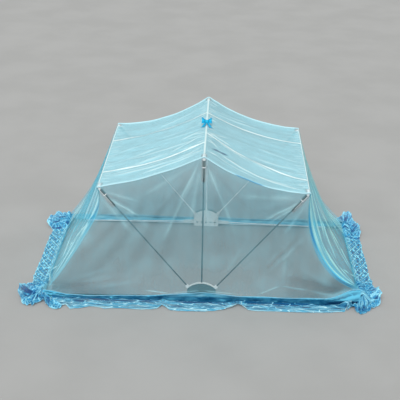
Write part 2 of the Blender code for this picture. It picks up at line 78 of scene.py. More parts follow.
# Places read from the model
RIDGE_BAR = centre_of("ridge_cross_bar")
UPPER_BAR = centre_of("right_upper_cross_bar")
FLOOR_BAR = centre_of("right_lower_cross_bar")
UPPER_PIVOT = centre_of("front_right_upper_rivet")
LOWER_PIVOT = centre_of("front_right_lower_rivet")
HALF_DEPTH = abs(LOWER_PIVOT.y)
# Cross bar and rivet of the frames that turn, and the turn that brings them upright, in degrees
FRAME_PARTS = {"upper": (UPPER_BAR, UPPER_PIVOT, 39.0), "lower": (FLOOR_BAR, LOWER_PIVOT, 91.23)}

FRONT, BACK = -1, 1
LEFT, RIGHT = -1, 1
SIDE_NAMES = {LEFT: "left", RIGHT: "right"}
FACING_NAMES = {FRONT: "front", BACK: "back"}
TURN = 2 * math.pi

# Nets
NET_OFFSET = 0.0072
OVERHANG = 0.0085
EDGE_DEPTH = HALF_DEPTH + OVERHANG
WALL_PLANE = HALF_DEPTH + 0.0105
WALL_FOLD = 0.004
WALL_FOLDS = 6
TUCK = 0.038  # how far the right end of the front hem's top is drawn back over the elbow
HEM_HEIGHT = 0.030
LACE_REACH = 0.394
CROWN_TURN = 90, 60  # where the roof starts and leaves the ridge bar, in degrees round it
EAVES_TURN = 85, 45  # where the roof meets the upper bar and ends
SIDE_TURN = 22  # where a side net leaves the upper bar
ROOF_SAG = {"front_left": 0.012, "front_right": 0.033, "back_left": 0.031, "back_right": 0.032}
ROOF_SAG_MIDDLE = 0.015
ROOF_FOLD = 0.0025
ROOF_FOLDS = 5
SIDE_SAG = {"front_left": 0.040, "front_right": 0.074, "back_left": 0.025, "back_right": 0.048}
SIDE_SAG_MIDDLE = 0.014
SIDE_FLARE = 3.0  # how suddenly a side net draws in at its front edge
FRONT_DROOP = {LEFT: 4.0, RIGHT: 2.3}  # how squarely the front edge hangs
FRONT_SKEW = {LEFT: 0.6, RIGHT: 0.0}  # how much more of its sag is near the top
# How far the front bottom corner of a side net is drawn back, up and in
CORNER_PULL = {LEFT: (0.020, 0.010, 0.020), RIGHT: (0.045, 0.020, 0.0)}
SIDE_FOLD = 0.006
SIDE_FOLDS = 5

# Lengths of the nets between their supports, used to lay out the weave
ROOF_LENGTH = math.hypot(UPPER_BAR.x, RIDGE_BAR.z - UPPER_BAR.z)
SIDE_LENGTH = math.hypot(FLOOR_BAR.x - UPPER_BAR.x, UPPER_BAR.z - FLOOR_BAR.z)

# Threads and trims
CLOTH_UV = "cloth"
NET_CELL = 0.0018
LACE_MESH = 0.0021
BINDING_RADIUS = 0.0021
CORD_RADIUS = 0.0010
PIPING_RADIUS = 0.0022
TUBE_SIDES = 8
SEAM_HALF_WIDTH = 0.0045
SEAM_LIFT = 0.0012
RIBBON_THICKNESS = 0.0005

# Stage, with angles in degrees
CAMERA_PLACE = (0.0634, -3.1484, 1.7667)
CAMERA_YAW = -1.517
CAMERA_PITCH = 25.44
CAMERA_ROLL = 1.055
CAMERA_LENS = 79.7
CAMERA_SENSOR = 36.0
FLOOR_HALF = 14.0
FLOOR_DROP = 0.0005
FLOOR_COLOURS = (0.385, 0.385, 0.374), (0.358, 0.358, 0.347)
WORLD_COLOUR = (0.96, 0.98, 1.0, 1.0)
WORLD_STRENGTH = 0.55
SUN_ENERGY = 2.62
SUN_SPREAD = 36
SUN_LEAN = 40, -8
SEE_THROUGH_LAYERS = 32

# The tables of creases and edges hold millimetres, and shares and lights in thousandths
THOUSAND = 1000


# Materials


class Value:
    """A number or colour that a node gives out. Arithmetic on it adds further nodes."""

    def __init__(self, finish, socket):
        self.finish = finish
        self.socket = socket

    def __add__(self, other):
        return self.finish.worked_out("ADD", self, other)

    def __sub__(self, other):
        return self.finish.worked_out("SUBTRACT", self, other)

    def __rsub__(self, other):
        return self.finish.worked_out("SUBTRACT", other, self)

    def __mul__(self, other):
        return self.finish.worked_out("MULTIPLY", self, other)

    def __truediv__(self, other):
        return self.finish.worked_out("DIVIDE", self, other)

    def __pow__(self, other):
        return self.finish.worked_out("POWER", self, other)

    def __abs__(self):
        return self.finish.worked_out("ABSOLUTE", self, 0.0)

    def or_more(self, other):
        """The greater of the two."""
        return self.finish.worked_out("MAXIMUM", self, other)

    def zigzag(self, period):
        """0 to 1 and back to 0 over each period."""
        return self.finish.worked_out("PINGPONG", self / period, 0.5) * 2.0

    def ramp(self, low, high, start=0.0, end=1.0):
        """Mapped from low..high to start..end, smoothly and within those ends."""
        inputs = {"Value": self, "From Min": low, "From Max": high, "To Min": start, "To Max": end}
        return self.finish.add("MapRange", inputs, "Result", interpolation_type="SMOOTHSTEP")


class Finish:
    """A material built from nodes around one Principled shader."""

    def __init__(self, name, roughness, metallic=0.0, **sockets):
        self.material = bpy.data.materials.new(name)
        self.material.use_nodes = True
        self.tree = self.material.node_tree
        self.shader = self.tree.nodes["Principled BSDF"]
        self.set(Roughness=roughness, Metallic=metallic, **sockets)

    def set(self, **sockets):
        """Sets or links inputs of the shader, named with _ for a space."""
        self.give(self.shader, {name.replace("_", " "): value for name, value in sockets.items()})

    def give(self, node, inputs):
        """Sets or links inputs of a node."""
        for name, value in inputs.items():
            socket = node.inputs[name]
            if isinstance(value, Value):
                self.tree.links.new(value.socket, socket)
            elif socket.type == "RGBA":
                socket.default_value = (*value, 1.0)
            else:
                socket.default_value = value

    def add(self, kind, inputs, output=0, **settings):
        """Adds a node and gives one of its outputs."""
        node = self.tree.nodes.new("ShaderNode" + kind)
        for setting, value in settings.items():
            setattr(node, setting, value)
        self.give(node, inputs)
        return Value(self, node.outputs[output])

    def worked_out(self, operation, first, second):
        return self.add("Math", {0: first, 1: second}, operation=operation)

    def mix(self, share, first, second):
        return self.add("Mix", {0: share, 6: first, 7: second}, 2, data_type="RGBA")

    def parts(self, place):
        """The three coordinates of a place."""
        first = self.add("SeparateXYZ", {0: place})
        return [Value(self, socket) for socket in first.socket.node.outputs]

    def joined(self, x, y):
        return self.add("CombineXYZ", {0: x, 1: y})

    def cloth_place(self):
        """The two coordinates of the cloth's own layout, in metres."""
        return self.parts(self.add("UVMap", {}, uv_map=CLOTH_UV))[:2]

    def solid_place(self):
        return self.add("TexCoord", {}, "Object")

    def noise(self, place, scale, detail=2.0):
        return self.add("TexNoise", {"Vector": place, "Scale": scale, "Detail": detail})

    def own(self, attribute):
        return self.add("Attribute", {}, "Fac", attribute_name=attribute)

    def bump(self, height, distance, strength=0.6):
        self.set(Normal=self.add("Bump", {"Height": height, "Distance": distance, "Strength": strength}))

    def colour_by_painted_light(self, body, bright, deep):
        """Colours the cloth by its painted light and tone: towards bright above 0, mostly painted highlight,
        and towards deep below 0, mostly painted shade.
        """
        painted_light_and_tone = self.own("painted_light_and_tone")
        body = self.mix(painted_light_and_tone.ramp(0.0, 1.0), body, bright)
        self.set(Base_Color=self.mix(painted_light_and_tone.ramp(0.0, -1.0), body, deep))


def darker(colour, share):
    return tuple(c * share for c in colour)


def net_finish(name, thread, bright, deep, hole_cover, thread_cover, streak=0.1):
    """Knitted net of crossing threads, closed up where the cloth lies in layers."""
    sheen = {"Sheen_Weight": 0.12, "Sheen_Roughness": 0.5, "Sheen_Tint": bright}
    made = Finish(name, 0.62, Specular_IOR_Level=0.12, **sheen)
    x, y = made.cloth_place()
    woven = (x + y).zigzag(NET_CELL).or_more((x - y).zigzag(NET_CELL)).ramp(0.5, 0.85)
    cover = woven.ramp(0.0, 1.0, hole_cover, thread_cover)
    streaks = made.noise(made.joined(x * 6.0, y), 9.0, 3.0)
    layers = made.own("layers") * streaks.ramp(0.3, 0.7, 1.0 - streak, 1.0 + streak)
    made.set(Alpha=1.0 - (1.0 - cover) ** layers)
    clouds = made.noise(made.joined(x, y), 14.0)
    made.colour_by_painted_light(made.mix(clouds.ramp(0.35, 0.65), thread, darker(thread, 0.93)), bright, deep)
    made.bump(woven + streaks, 0.0008)
    return made.material


def lace_finish(name, ground, motif, thread, bright, deep, along, across, bold, closeness):
    """Lace: a fine ground, lozenges of thick thread, and a round flower in each lozenge.

    The lozenges are along by across, in metres of cloth. bold is how clearly they stand out, and
    closeness how much the ground between its threads covers.
    """
    sheen = {"Sheen_Weight": 0.1, "Sheen_Roughness": 0.4, "Sheen_Tint": thread}
    made = Finish(name, 0.55, Specular_IOR_Level=0.2, **sheen)
    x, y = made.cloth_place()
    wander = made.noise(made.joined(x, y), 25.0) * 0.5
    u = x / along + wander
    v = y / across + wander
    first = (u + v).zigzag(1.0)
    second = (u - v).zigzag(1.0)
    bold = made.own("clear") * bold
    line = first.or_more(second).ramp(0.76, 0.92) * bold
    heart = first + second
    flower = heart.ramp(0.85, 0.60) * heart.ramp(0.20, 0.32) * bold
    specks = made.noise(made.joined(u, v), 3.4, 1.0)
    knots = specks.ramp(0.56, 0.66) * bold
    shaded_pits = specks.ramp(0.46, 0.36) * bold
    mesh = x.zigzag(LACE_MESH).or_more(y.zigzag(LACE_MESH)).ramp(0.45, 0.85, 0.5 * closeness, closeness)
    cover = line.or_more(flower).or_more(knots).or_more(mesh * shaded_pits.ramp(0.0, 1.0, 1.0, 0.7))
    made.set(Alpha=1.0 - (1.0 - cover * 0.97) ** made.own("layers"))
    # Painted shade: round its pits the ground is drawn much darker, as shade in the holes.
    body = made.mix(shaded_pits, ground, darker(ground, 0.35))
    body = made.mix(flower, body, motif)
    body = made.mix(line.or_more(knots), body, thread)
    made.colour_by_painted_light(body, bright, deep)
    made.bump(cover, 0.0012, 0.8)
    return made.material


def woven_finish(name, colour, light, deep, roughness=0.6, rib=0.0016, sheer=0.0):
    """A close fabric with fine ribs and slight changes of colour.

    A sheer one lets light through where the cloth lies in less than one layer.
    """
    made = Finish(name, roughness, Specular_IOR_Level=0.15)
    x, y = made.cloth_place()
    weave = x.zigzag(rib) * (y.zigzag(rib * 0.8) + 0.4)
    clouds = made.noise(made.joined(x, y), 22.0, 3.0)
    paler = tuple(0.7 * c + 0.3 * w for c, w in zip(colour, light))
    made.colour_by_painted_light(made.mix(clouds.ramp(0.3, 0.7), colour, paler), light, deep)
    if sheer:
        made.set(Alpha=made.own("layers").ramp(0.0, 1.0, 1.0 - sheer, 1.0))
    made.set(Roughness=clouds.ramp(0.3, 0.7, roughness - 0.08, roughness + 0.08))
    made.bump(weave + clouds, 0.0007)
    return made.material


def plastic_finish(name, colour, roughness):
    """Moulded plastic with a faint grain and a little dust."""
    made = Finish(name, roughness, Specular_IOR_Level=0.45)
    place = made.solid_place()
    clouds = made.noise(place, 35.0, 3.0)
    made.set(Base_Color=made.mix(clouds.ramp(0.35, 0.7), colour, darker(colour, 0.86)))
    made.set(Roughness=clouds.ramp(0.3, 0.7, roughness - 0.07, roughness + 0.1))
    made.bump(made.noise(place, 900.0) + clouds, 0.0004, 0.5)
    return made.material


def steel_finish(name, colour, roughness, metallic):
    """Drawn steel: a fine grain, with darker spots."""
    made = Finish(name, roughness, metallic)
    place = made.solid_place()
    spots = made.noise(place, 60.0, 4.0)
    fine = made.noise(place, 700.0)
    made.set(Base_Color=made.mix(spots.ramp(0.35, 0.7), colour, darker(colour, 0.7)))
    made.set(Roughness=fine.ramp(0.3, 0.7, roughness - 0.06, roughness + 0.12))
    made.bump(fine, 0.0002, 0.4)
    return made.material


ELBOW_LEG = 0.006, 0.009, 0.0318, 0.033  # from the bar: where the plated leg fades in and out
ELBOW_SLEEVE = 0.0362, 0.0370  # where the plated sleeve fades in


def elbow_finish(name, bar, run, white, grey, highlight_from=0.0008):
    """White plastic at the corner and collar, and a plated leg and sleeve with painted light on them: white
    above their axis as a painted highlight, dark grey below it as painted shade.

    bar is the place of the cross bar and run the direction of the leg, as (out, up). The painted
    highlight on the plated parts starts this far above the leg's axis.
    """
    made = Finish(name, 0.4)
    place = made.solid_place()
    x, _, z = made.parts(place)
    out = abs(x) - bar.x
    up = z - bar.z
    reach = out * run[0] + up * run[1]
    above = up * run[0] - out * run[1]
    leg_start, leg_full, leg_last, leg_end = ELBOW_LEG
    # Plating in painted shade: the leg and sleeve are dark grey below their axis and take the white above it
    # as a painted highlight.
    shade_on_plating = reach.ramp(leg_start, leg_full) * reach.ramp(leg_end, leg_last)
    shade_on_plating = shade_on_plating.or_more(reach.ramp(*ELBOW_SLEEVE)) * above.ramp(highlight_from + 0.0014, highlight_from)
    clouds = made.noise(place, 60.0, 3.0).ramp(0.35, 0.7)
    pale = made.mix(clouds, white, darker(white, 0.94))
    plating_in_shade = made.mix(clouds, grey, darker(grey, 0.75))
    made.set(Base_Color=made.mix(shade_on_plating, pale, plating_in_shade), Roughness=shade_on_plating.ramp(0.0, 1.0, 0.42, 0.26))
    made.bump(made.noise(place, 800.0), 0.0003, 0.4)
    return made.material


def leg_run(bar, pivot):
    """Direction from a bar to the rivet of its frame, as (out, up)."""
    run = pivot - bar
    length = math.hypot(run.x, run.z)
    return run.x / length, run.z / length


def make_finishes():
    # The elbows' white plastic, which is also their painted highlight, and the grey of their plating in
    # painted shade.
    elbow_white, elbow_grey = (0.98, 1.0, 1.0), (0.085, 0.13, 0.135)
    # In the cloths below, bright and light are the colours of painted highlight, and deep the colour of
    # painted shade and of darker tone.
    return {
        "roof": net_finish(
            "roof_net", (0.42, 0.86, 0.98), (0.80, 1.0, 1.0), (0.0, 0.12, 0.26),
            hole_cover=0.46, thread_cover=0.84, streak=0.04
        ),
        "side_left": net_finish(
            "side_net_left", (0.17, 0.68, 0.88), (0.52, 0.92, 0.98), (0.0, 0.28, 0.58),
            hole_cover=0.22, thread_cover=0.56
        ),
        "side_right": net_finish(
            "side_net_right", (0.12, 0.73, 1.0), (0.47, 0.98, 1.0), (0.0, 0.30, 0.68),
            hole_cover=0.26, thread_cover=0.63
        ),
        "wall": net_finish(
            "wall_net", (0.27, 0.60, 0.71), (0.52, 0.90, 0.98), (0.07, 0.25, 0.32),
            hole_cover=0.15, thread_cover=0.44
        ),
        "seam": woven_finish("seam_tape", (0.82, 1.0, 1.0), (0.90, 1.0, 1.0), (0.40, 0.75, 0.85)),
        "binding": woven_finish(
            "binding", (0.41, 0.76, 0.87), (0.59, 0.87, 0.92), (0.02, 0.26, 0.50), roughness=0.55
        ),
        "tape": woven_finish(
            "pale_tape", (0.97, 1.0, 1.0), (1.0, 1.0, 1.0), (0.5, 0.7, 0.75), roughness=0.7
        ),
        "hem": woven_finish(
            "dark_hem", (0.0, 0.075, 0.18), (0.14, 0.60, 0.82), (0.0, 0.03, 0.09),
            roughness=0.5, rib=0.002, sheer=0.8
        ),
        "hem_lining": woven_finish(
            "hem_lining", (0.14, 0.59, 0.83), (0.40, 0.84, 0.98), (0.05, 0.39, 0.66), sheer=0.9
        ),
        "lace": lace_finish(
            "lace", ground=(0.07, 0.43, 0.67), motif=(0.14, 0.54, 0.76), thread=(0.50, 0.88, 0.98),
            bright=(0.56, 0.92, 1.0), deep=(0.0, 0.10, 0.26), along=0.060, across=0.026,
            bold=0.25, closeness=0.86
        ),
        "side_lace": lace_finish(
            "side_lace", ground=(0.012, 0.27, 0.54), motif=(0.04, 0.39, 0.68), thread=(0.29, 0.78, 0.94),
            bright=(0.36, 0.84, 0.98), deep=(0.0, 0.09, 0.28), along=0.044, across=0.021,
            bold=1.0, closeness=0.60
        ),
        "ribbon": woven_finish(
            "satin_ribbon", (0.01, 0.48, 0.80), (0.08, 0.78, 0.98), (0.0, 0.15, 0.40),
            roughness=0.36, rib=0.0007
        ),
        "plastic": plastic_finish("white_plastic", (0.82, 0.86, 0.85), roughness=0.42),
        "elbow_ridge": elbow_finish(
            "ridge_elbow", RIDGE_BAR, (0.0, -1.0), elbow_white, (0.15, 0.21, 0.215), highlight_from=0.0048
        ),
        "elbow_upper": elbow_finish(
            "upper_elbow", UPPER_BAR, leg_run(UPPER_BAR, UPPER_PIVOT), elbow_white, elbow_grey
        ),
        "elbow_lower": elbow_finish(
            "lower_elbow", FLOOR_BAR, leg_run(FLOOR_BAR, LOWER_PIVOT), elbow_white, elbow_grey
        ),
        # The hub's outer plates are coloured dark as painted shade, and its inner plates near white as
        # painted light.
        "hub_outer_in_shade": plastic_finish("hub_outer_plastic", (0.07, 0.13, 0.14), roughness=0.55),
        "hub_inner_lit": plastic_finish("hub_inner_plastic", (0.90, 0.95, 0.93), roughness=0.48),
        # One steel in two copies: steel, dark, is painted shade on the front rods and cross bars;
        # lit_pale_steel, near white, is painted light on the back rods.
        "steel": steel_finish("grey_steel", (0.07, 0.10, 0.105), roughness=0.34, metallic=0.7),
        "lit_pale_steel": steel_finish("lit_pale_steel", (0.98, 1.0, 1.0), roughness=0.40, metallic=0.0),
        "rivet": steel_finish("rivet_steel", (0.12, 0.14, 0.14), roughness=0.35, metallic=0.8),
    }


# Cloth geometry


def lerp(a, b, t):
    return a + (b - a) * t


def smooth_step(t):
    t = np.clip(t, 0.0, 1.0)
    return t * t * (3 - 2 * t)


def between(value, low, high):
    """0 below low, 1 above high, smooth between."""
    return smooth_step((value - low) / (high - low))


def hill(value, centre, half_width):
    """1 at the centre, falling smoothly to 0 on both sides."""
    return np.exp(-(((value - centre) / half_width) ** 2))


def grid(down, across):
    """A column of places down a sheet and a row of places across it, each from (start, end, count)."""
    return np.linspace(*down)[:, None], np.linspace(*across)[None, :]


def points(x, y, z):
    """Points from coordinates that are single values, rows, columns or grids."""
    return np.stack(np.broadcast_arrays(x, y, z), axis=-1)


def through(knots, values, at):
    """A smooth curve through the values at the knots, read at each place of at."""
    knots = np.asarray(knots, float)
    values = np.asarray(values, float)
    slopes = np.gradient(values, knots, axis=0)
    i = np.clip(np.searchsorted(knots, at, side="right") - 1, 0, len(knots) - 2)
    wide = (-1,) + (1,) * (values.ndim - 1)
    gap = (knots[i + 1] - knots[i]).reshape(wide)
    t = (at - knots[i]).reshape(wide) / gap
    start = (2 * t**3 - 3 * t**2 + 1) * values[i] + (t**3 - 2 * t**2 + t) * gap * slopes[i]
    end = (3 * t**2 - 2 * t**3) * values[i + 1] + (t**3 - t**2) * gap * slopes[i + 1]
    return start + end


def crumple(a, b, size, seed, waves=9):
    """A smooth uneven field, about -1 to 1, whose waves run in every direction."""
    chance = np.random.default_rng(seed)
    field = 0
    for _ in range(waves):
        turn = chance.uniform(0, TURN)
        length = size * chance.uniform(0.6, 1.7)
        shift = chance.uniform(0, TURN)
        field += np.sin(TURN * (a * math.cos(turn) + b * math.sin(turn)) / length + shift)
    return field / math.sqrt(waves)


def long_folds(along, across, size, seed, waves=7):
    """Folds that run nearly along one coordinate, as in cloth pulled tight that way."""
    chance = np.random.default_rng(seed)
    field = 0
    for _ in range(waves):
        length = size * chance.uniform(0.6, 1.8)
        skew = chance.uniform(-0.16, 0.16)
        shift = chance.uniform(0, TURN)
        swell = 0.6 + 0.4 * np.sin(TURN * along / chance.uniform(0.3, 0.7) + shift * 2)
        field += swell * np.sin(TURN * (across + skew * along) / length + shift)
    return field / math.sqrt(waves)


def folds(a, b, size, seed, width=0.12):
    """Thin winding lines, as where gathered cloth doubles over, from 0 to 1."""
    return hill(crumple(a, b, size, seed), 0, width)


def creases(a, b, lines):
    """Height of straight creases, and their light: how far they brighten the cloth (above 0) or darken it,
    which is painted highlight and painted shade.

    Each line is (a0, b0, a1, b1, half width, height, light), a and b in metres.
    """
    height, bright, dark = 0.0, 0.0, 0.0
    for a0, b0, a1, b1, half_width, rise, light in lines:
        run_a, run_b = a1 - a0, b1 - b0
        t = np.clip(((a - a0) * run_a + (b - b0) * run_b) / (run_a**2 + run_b**2), 0, 1)
        gap = np.hypot(a - a0 - t * run_a, b - b0 - t * run_b)
        ridge = hill(gap, 0, half_width) * (0.25 + 0.75 * smooth_step(4 * np.minimum(t, 1 - t)))
        height += rise * ridge
        bright = np.maximum(bright, light * ridge)
        dark = np.minimum(dark, light * ridge)
    return height, bright + dark


def in_metres(lines, length=1.0):
    """Creases from a table, whose a0 and a1 are shares of the length."""
    return list(np.array(lines) / THOUSAND * (length, 1, length, 1, 1, 1, 1))


def cloth_piece(
    name, spots, layout, finish, layers=1.0, painted_light_and_tone=0.0, clear=1.0, rows_back=False, columns_back=False
):
    """A sheet through a grid of points. layout gives each point's place on the cloth, in metres.

    layers counts the layers of cloth, painted_light_and_tone brightens or deepens it, mostly as painted
    light and shade, and clear shows the lace's pattern. The grid's rows or columns can run backwards, which
    turns the sheet's face round.
    """
    rows, columns = spots.shape[:2]
    grids = [np.broadcast_to(value, (rows, columns)) for value in (*layout, layers, painted_light_and_tone, clear)]
    for axis, back in enumerate((rows_back, columns_back)):
        if back:
            spots = np.flip(spots, axis)
            grids = [np.flip(grid, axis) for grid in grids]
    corner = np.arange(rows * columns).reshape(rows, columns)
    quads = np.stack([corner[:-1, :-1], corner[:-1, 1:], corner[1:, 1:], corner[1:, :-1]], axis=-1)
    quads = quads.reshape(-1, 4)
    mesh = bpy.data.meshes.new(name)
    mesh.from_pydata(spots.reshape(-1, 3).tolist(), [], quads.tolist())
    uv = mesh.uv_layers.new(name=CLOTH_UV)
    places = np.stack(grids[:2], axis=-1).reshape(-1, 2)
    uv.data.foreach_set("uv", places[quads.ravel()].astype(np.float32).ravel())
    for label, grid in zip(("layers", "painted_light_and_tone", "clear"), grids[2:]):
        attribute = mesh.attributes.new(label, "FLOAT", "POINT")
        attribute.data.foreach_set("value", grid.astype(np.float32).ravel())
    mesh.shade_smooth()
    mesh.materials.append(finish)
    piece = bpy.data.objects.new(name, mesh)
    bpy.context.scene.collection.objects.link(piece)
    return piece


def tube_piece(name, path, radius, finish, painted_light_and_tone=0.0):
    """A round tube along points that lie near a plane of constant Y."""
    along = np.gradient(path, axis=0)
    along /= np.linalg.norm(along, axis=1)[:, None]
    across = np.cross(along, np.array((0.0, 1.0, 0.0)))
    across /= np.linalg.norm(across, axis=1)[:, None]
    beside = np.cross(along, across)
    turns = np.linspace(0, TURN, TUBE_SIDES + 1)
    ring = np.cos(turns)[:, None] * beside[:, None, :] + np.sin(turns)[:, None] * across[:, None, :]
    steps = np.linalg.norm(np.diff(path, axis=0), axis=1)
    length = np.concatenate([[0.0], np.cumsum(steps)])[:, None]
    return cloth_piece(name, path[:, None, :] + radius * ring, (turns * radius, length), finish, painted_light_and_tone=painted_light_and_tone)


def half_name(side, facing):
    return f"{FACING_NAMES[facing]}_{SIDE_NAMES[side]}"


def round_bar(bar, turn):
    """Where the net lies on a bar, at an angle in degrees round it, as x and z."""
    turn = np.radians(turn)
    return bar.x + NET_OFFSET * np.cos(turn), bar.z + NET_OFFSET * np.sin(turn)


def fold_share(spots, pivot, travel, hem):
    """How far each point turns as its side folds up to the ridge, as a share of the frame's turn.

    Below the hem's height the share rises to 1, so that the skirt turns with the floor bar.
    """
    out = np.abs(spots[:, 0]) - pivot.x
    up = np.maximum(spots[:, 2], hem) - pivot.z
    share = np.clip((90 - np.degrees(np.arctan2(up, out))) / travel, 0, 1)
    if hem:
        whole = between(np.abs(spots[:, 0]), 0.02, 0.12)
        share = lerp(share, whole, between(hem - spots[:, 2], 0.0, 0.8 * hem))
    return share


def fold_with(piece, side, frame_name, hem=0.0):
    """Bends a piece between the fixed ridge and a frame, like a fan.

    They are written over with ones that follow the angle about the frame's rivet, which
    is how the net closes.
    """
    bar, pivot, travel = FRAME_PARTS[frame_name]
    body = f"{SIDE_NAMES[side]}_{frame_name}"
    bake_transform(piece, "root", body, start=(0, 0, RIDGE_BAR.z), end=(side * bar.x, 0, bar.z))
    mesh = piece.data
    spots = np.zeros(len(mesh.vertices) * 3, np.float32)
    mesh.vertices.foreach_get("co", spots)
    share = fold_share(spots.reshape(-1, 3), pivot, travel, hem)
    mesh.attributes["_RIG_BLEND"].data.foreach_set("value", share.astype(np.float32))


# Roof


def roof_spot(side, s, y, lift=0.0):
    """Points of the roof. s runs from -1 on the crown, 0 and 1 at the panel's ends, to 2 over the bar."""
    crown_x, crown_z = round_bar(RIDGE_BAR, lerp(*CROWN_TURN, np.clip(s + 1, 0, 1)))
    edge_x, edge_z = round_bar(UPPER_BAR, lerp(*EAVES_TURN, np.clip(s - 1, 0, 1)))
    start_x, start_z = round_bar(RIDGE_BAR, CROWN_TURN[1])
    end_x, end_z = round_bar(UPPER_BAR, EAVES_TURN[0])
    t = np.clip(s, 0, 1)
    label = SIDE_NAMES[side]
    ends = np.where(y > 0, ROOF_SAG[f"back_{label}"], ROOF_SAG[f"front_{label}"])
    sag = lerp(ROOF_SAG_MIDDLE, ends, smooth_step(np.abs(y) / HALF_DEPTH))
    wave = ROOF_FOLD * np.sin(TURN * ROOF_FOLDS * y / (2 * HALF_DEPTH) + side)
    drop = (sag + wave) * 4 * t * (1 - t) - lift
    x = np.where(s < 0, crown_x, np.where(s > 1, edge_x, lerp(start_x, end_x, t)))
    z = np.where(s < 0, crown_z, np.where(s > 1, edge_z, lerp(start_z, end_z, t) - drop))
    return points(side * x, y, z)


# Creases of the roof: (share of the way from the ridge to the bar, y) at both ends, then
# half width, height and light
ROOF_CREASES = {
    LEFT: (
        (33, -107, 909, -109, 5, 2.2, 700), (48, -46, 255, -56, 4.5, 1.6, 700),
        (37, -95, 340, -160, 4, 1.8, 850), (29, -185, 226, -165, 3.5, 1.6, 800),
        (27, -211, 164, -241, 3.5, 1.6, 800), (45, -252, 938, -246, 8, 2.2, 550),
        (50, -262, 620, -285, 5, 1.8, 700), (40, -238, 700, -262, 3.5, -1.8, -300),
        (350, -150, 960, -205, 8, 2.2, 450), (420, -50, 970, -125, 6, 1.6, 450),
        (380, -130, 900, -160, 4, -1.4, -220), (500, 20, 970, -30, 6, 1.4, 350),
        (30, 30, 500, 40, 6, 1.4, 300), (20, -20, 450, -10, 5, 1.4, 400),
        (50, 240, 560, 190, 5, 1.6, 450), (300, -205, 960, -228, 6, 2, 500),
        (30, -140, 280, -190, 3.5, -1.6, -250),
    ),
    RIGHT: (
        (18, -71, 255, -96, 4.5, 1.8, 800), (98, -106, 420, -165, 4.5, 1.8, 800),
        (55, -200, 972, -306, 4, 2, 900), (50, -203, 220, -188, 4.5, -2.2, -1400),
        (10, -125, 120, -175, 3.5, 1.6, 850), (250, -120, 700, -200, 5, 1.6, 600),
        (300, -230, 900, -280, 6, 1.8, 500), (520, -30, 970, -60, 6, 1.4, 400),
        (480, -110, 970, -130, 6, 1.6, 450), (20, 170, 600, 215, 5, 1.8, 550),
        (60, 200, 480, 260, 5, 1.8, 550), (300, 80, 900, 110, 6, 1.4, 300),
        (20, -235, 500, -275, 5, 1.8, 600),
    ),
}
# Seams of the roof: y at the ridge and at the bar
ROOF_SEAMS = {LEFT: ((0.133, 0.115), (-0.180, -0.193)), RIGHT: ((0.130, 0.145), (-0.088, -0.212))}
GATHER_COUNT = 26
GATHER_WIDTH = 0.0026


def roof_relief(side, s, y):
    """Height of the roof's creases and folds above its smooth sag, and the light they give it."""
    along = np.clip(s, 0, 1) * ROOF_LENGTH
    lines = in_metres(ROOF_CREASES[side], ROOF_LENGTH)
    chance = np.random.default_rng(40 + side)
    for i in range(GATHER_COUNT):
        start = lerp(-0.27, 0.28, i / (GATHER_COUNT - 1)) + chance.uniform(-0.006, 0.006)
        reach = chance.uniform(0.02, 0.07) * (1.4 if start < -0.02 else 0.6)
        light = chance.choice((0.9, 0.7, -0.3))
        end = start + chance.uniform(-0.6, 0.6) * reach
        lines.append((0.0, start, reach, end, GATHER_WIDTH, 0.0010, light))
        start = lerp(-0.28, 0.28, i / (GATHER_COUNT - 1)) + chance.uniform(-0.006, 0.006)
        reach = ROOF_LENGTH - chance.uniform(0.012, 0.045)
        end = start + chance.uniform(-0.01, 0.01)
        lines.append((ROOF_LENGTH, start, reach, end, GATHER_WIDTH, 0.0008, 0.5))
    height, light = creases(along, y, lines)
    soft = long_folds(along, y, 0.055, 50 + side)
    height += 0.0012 * soft + 0.0006 * crumple(along, y, 0.09, 60 + side)
    front = between(-y, -0.05, 0.15)
    doubled = between(folds(along, y * 3, 0.30, 64 + side), 0.6, 1.0)
    light += 0.05 * soft * (1 + front) + 0.2 * front * doubled
    inside = between(s, 0.0, 0.08) * between(1 - s, 0.0, 0.05)
    return height * inside, np.clip(light, -1, 1)


def roof_rows():
    return np.concatenate([np.linspace(-1, 0, 4)[:-1], np.linspace(0, 1, 76), np.linspace(1, 2, 5)[1:]])


def add_roof(side, finishes):
    """One half of the roof, with its two seams."""
    label = SIDE_NAMES[side]
    s, y = roof_rows()[:, None], np.linspace(-EDGE_DEPTH, EDGE_DEPTH, 321)
    height, light = roof_relief(side, s, y)
    edge = between(np.abs(y), EDGE_DEPTH - 0.016, EDGE_DEPTH)
    over_bars = between(-s, 0.0, 0.5) + between(s, 1.0, 1.3)
    near_bars = np.maximum(between(s, 0.95, 0.98), between(0.03 - s, 0.0, 0.02))
    over_elbow = near_bars * between(np.abs(y), 0.281, 0.289)
    layers = (1.0 + 1.2 * np.maximum(light, 0) + 0.8 * edge + 2.5 * over_bars) * (1 - 0.8 * over_elbow)
    # Painted shade: along the right front edge, the roof is kept dark instead of paling.
    edge_shade = between(-y, 0.0, 0.1) * (1 - between(s, 0.45, 0.7)) * (side == RIGHT)
    pale = np.maximum(between(-s, -0.02, 0.3), between(s, 0.992, 1.2))
    painted_light_and_tone = lerp(light, 1.0, np.maximum(pale, 0.55 * edge * (1 - 0.8 * edge_shade)))
    spots = roof_spot(side, s, y, height)
    layout = (y, s * ROOF_LENGTH)
    back = side == RIGHT
    roof = cloth_piece(f"roof_{label}", spots, layout, finishes["roof"], layers, painted_light_and_tone, rows_back=back)
    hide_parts("roof_net")
    seams = [add_roof_seam(side, i, seam, finishes["seam"]) for i, seam in enumerate(ROOF_SEAMS[side])]
    for piece in (roof, *seams):
        fold_with(piece, side, "upper")


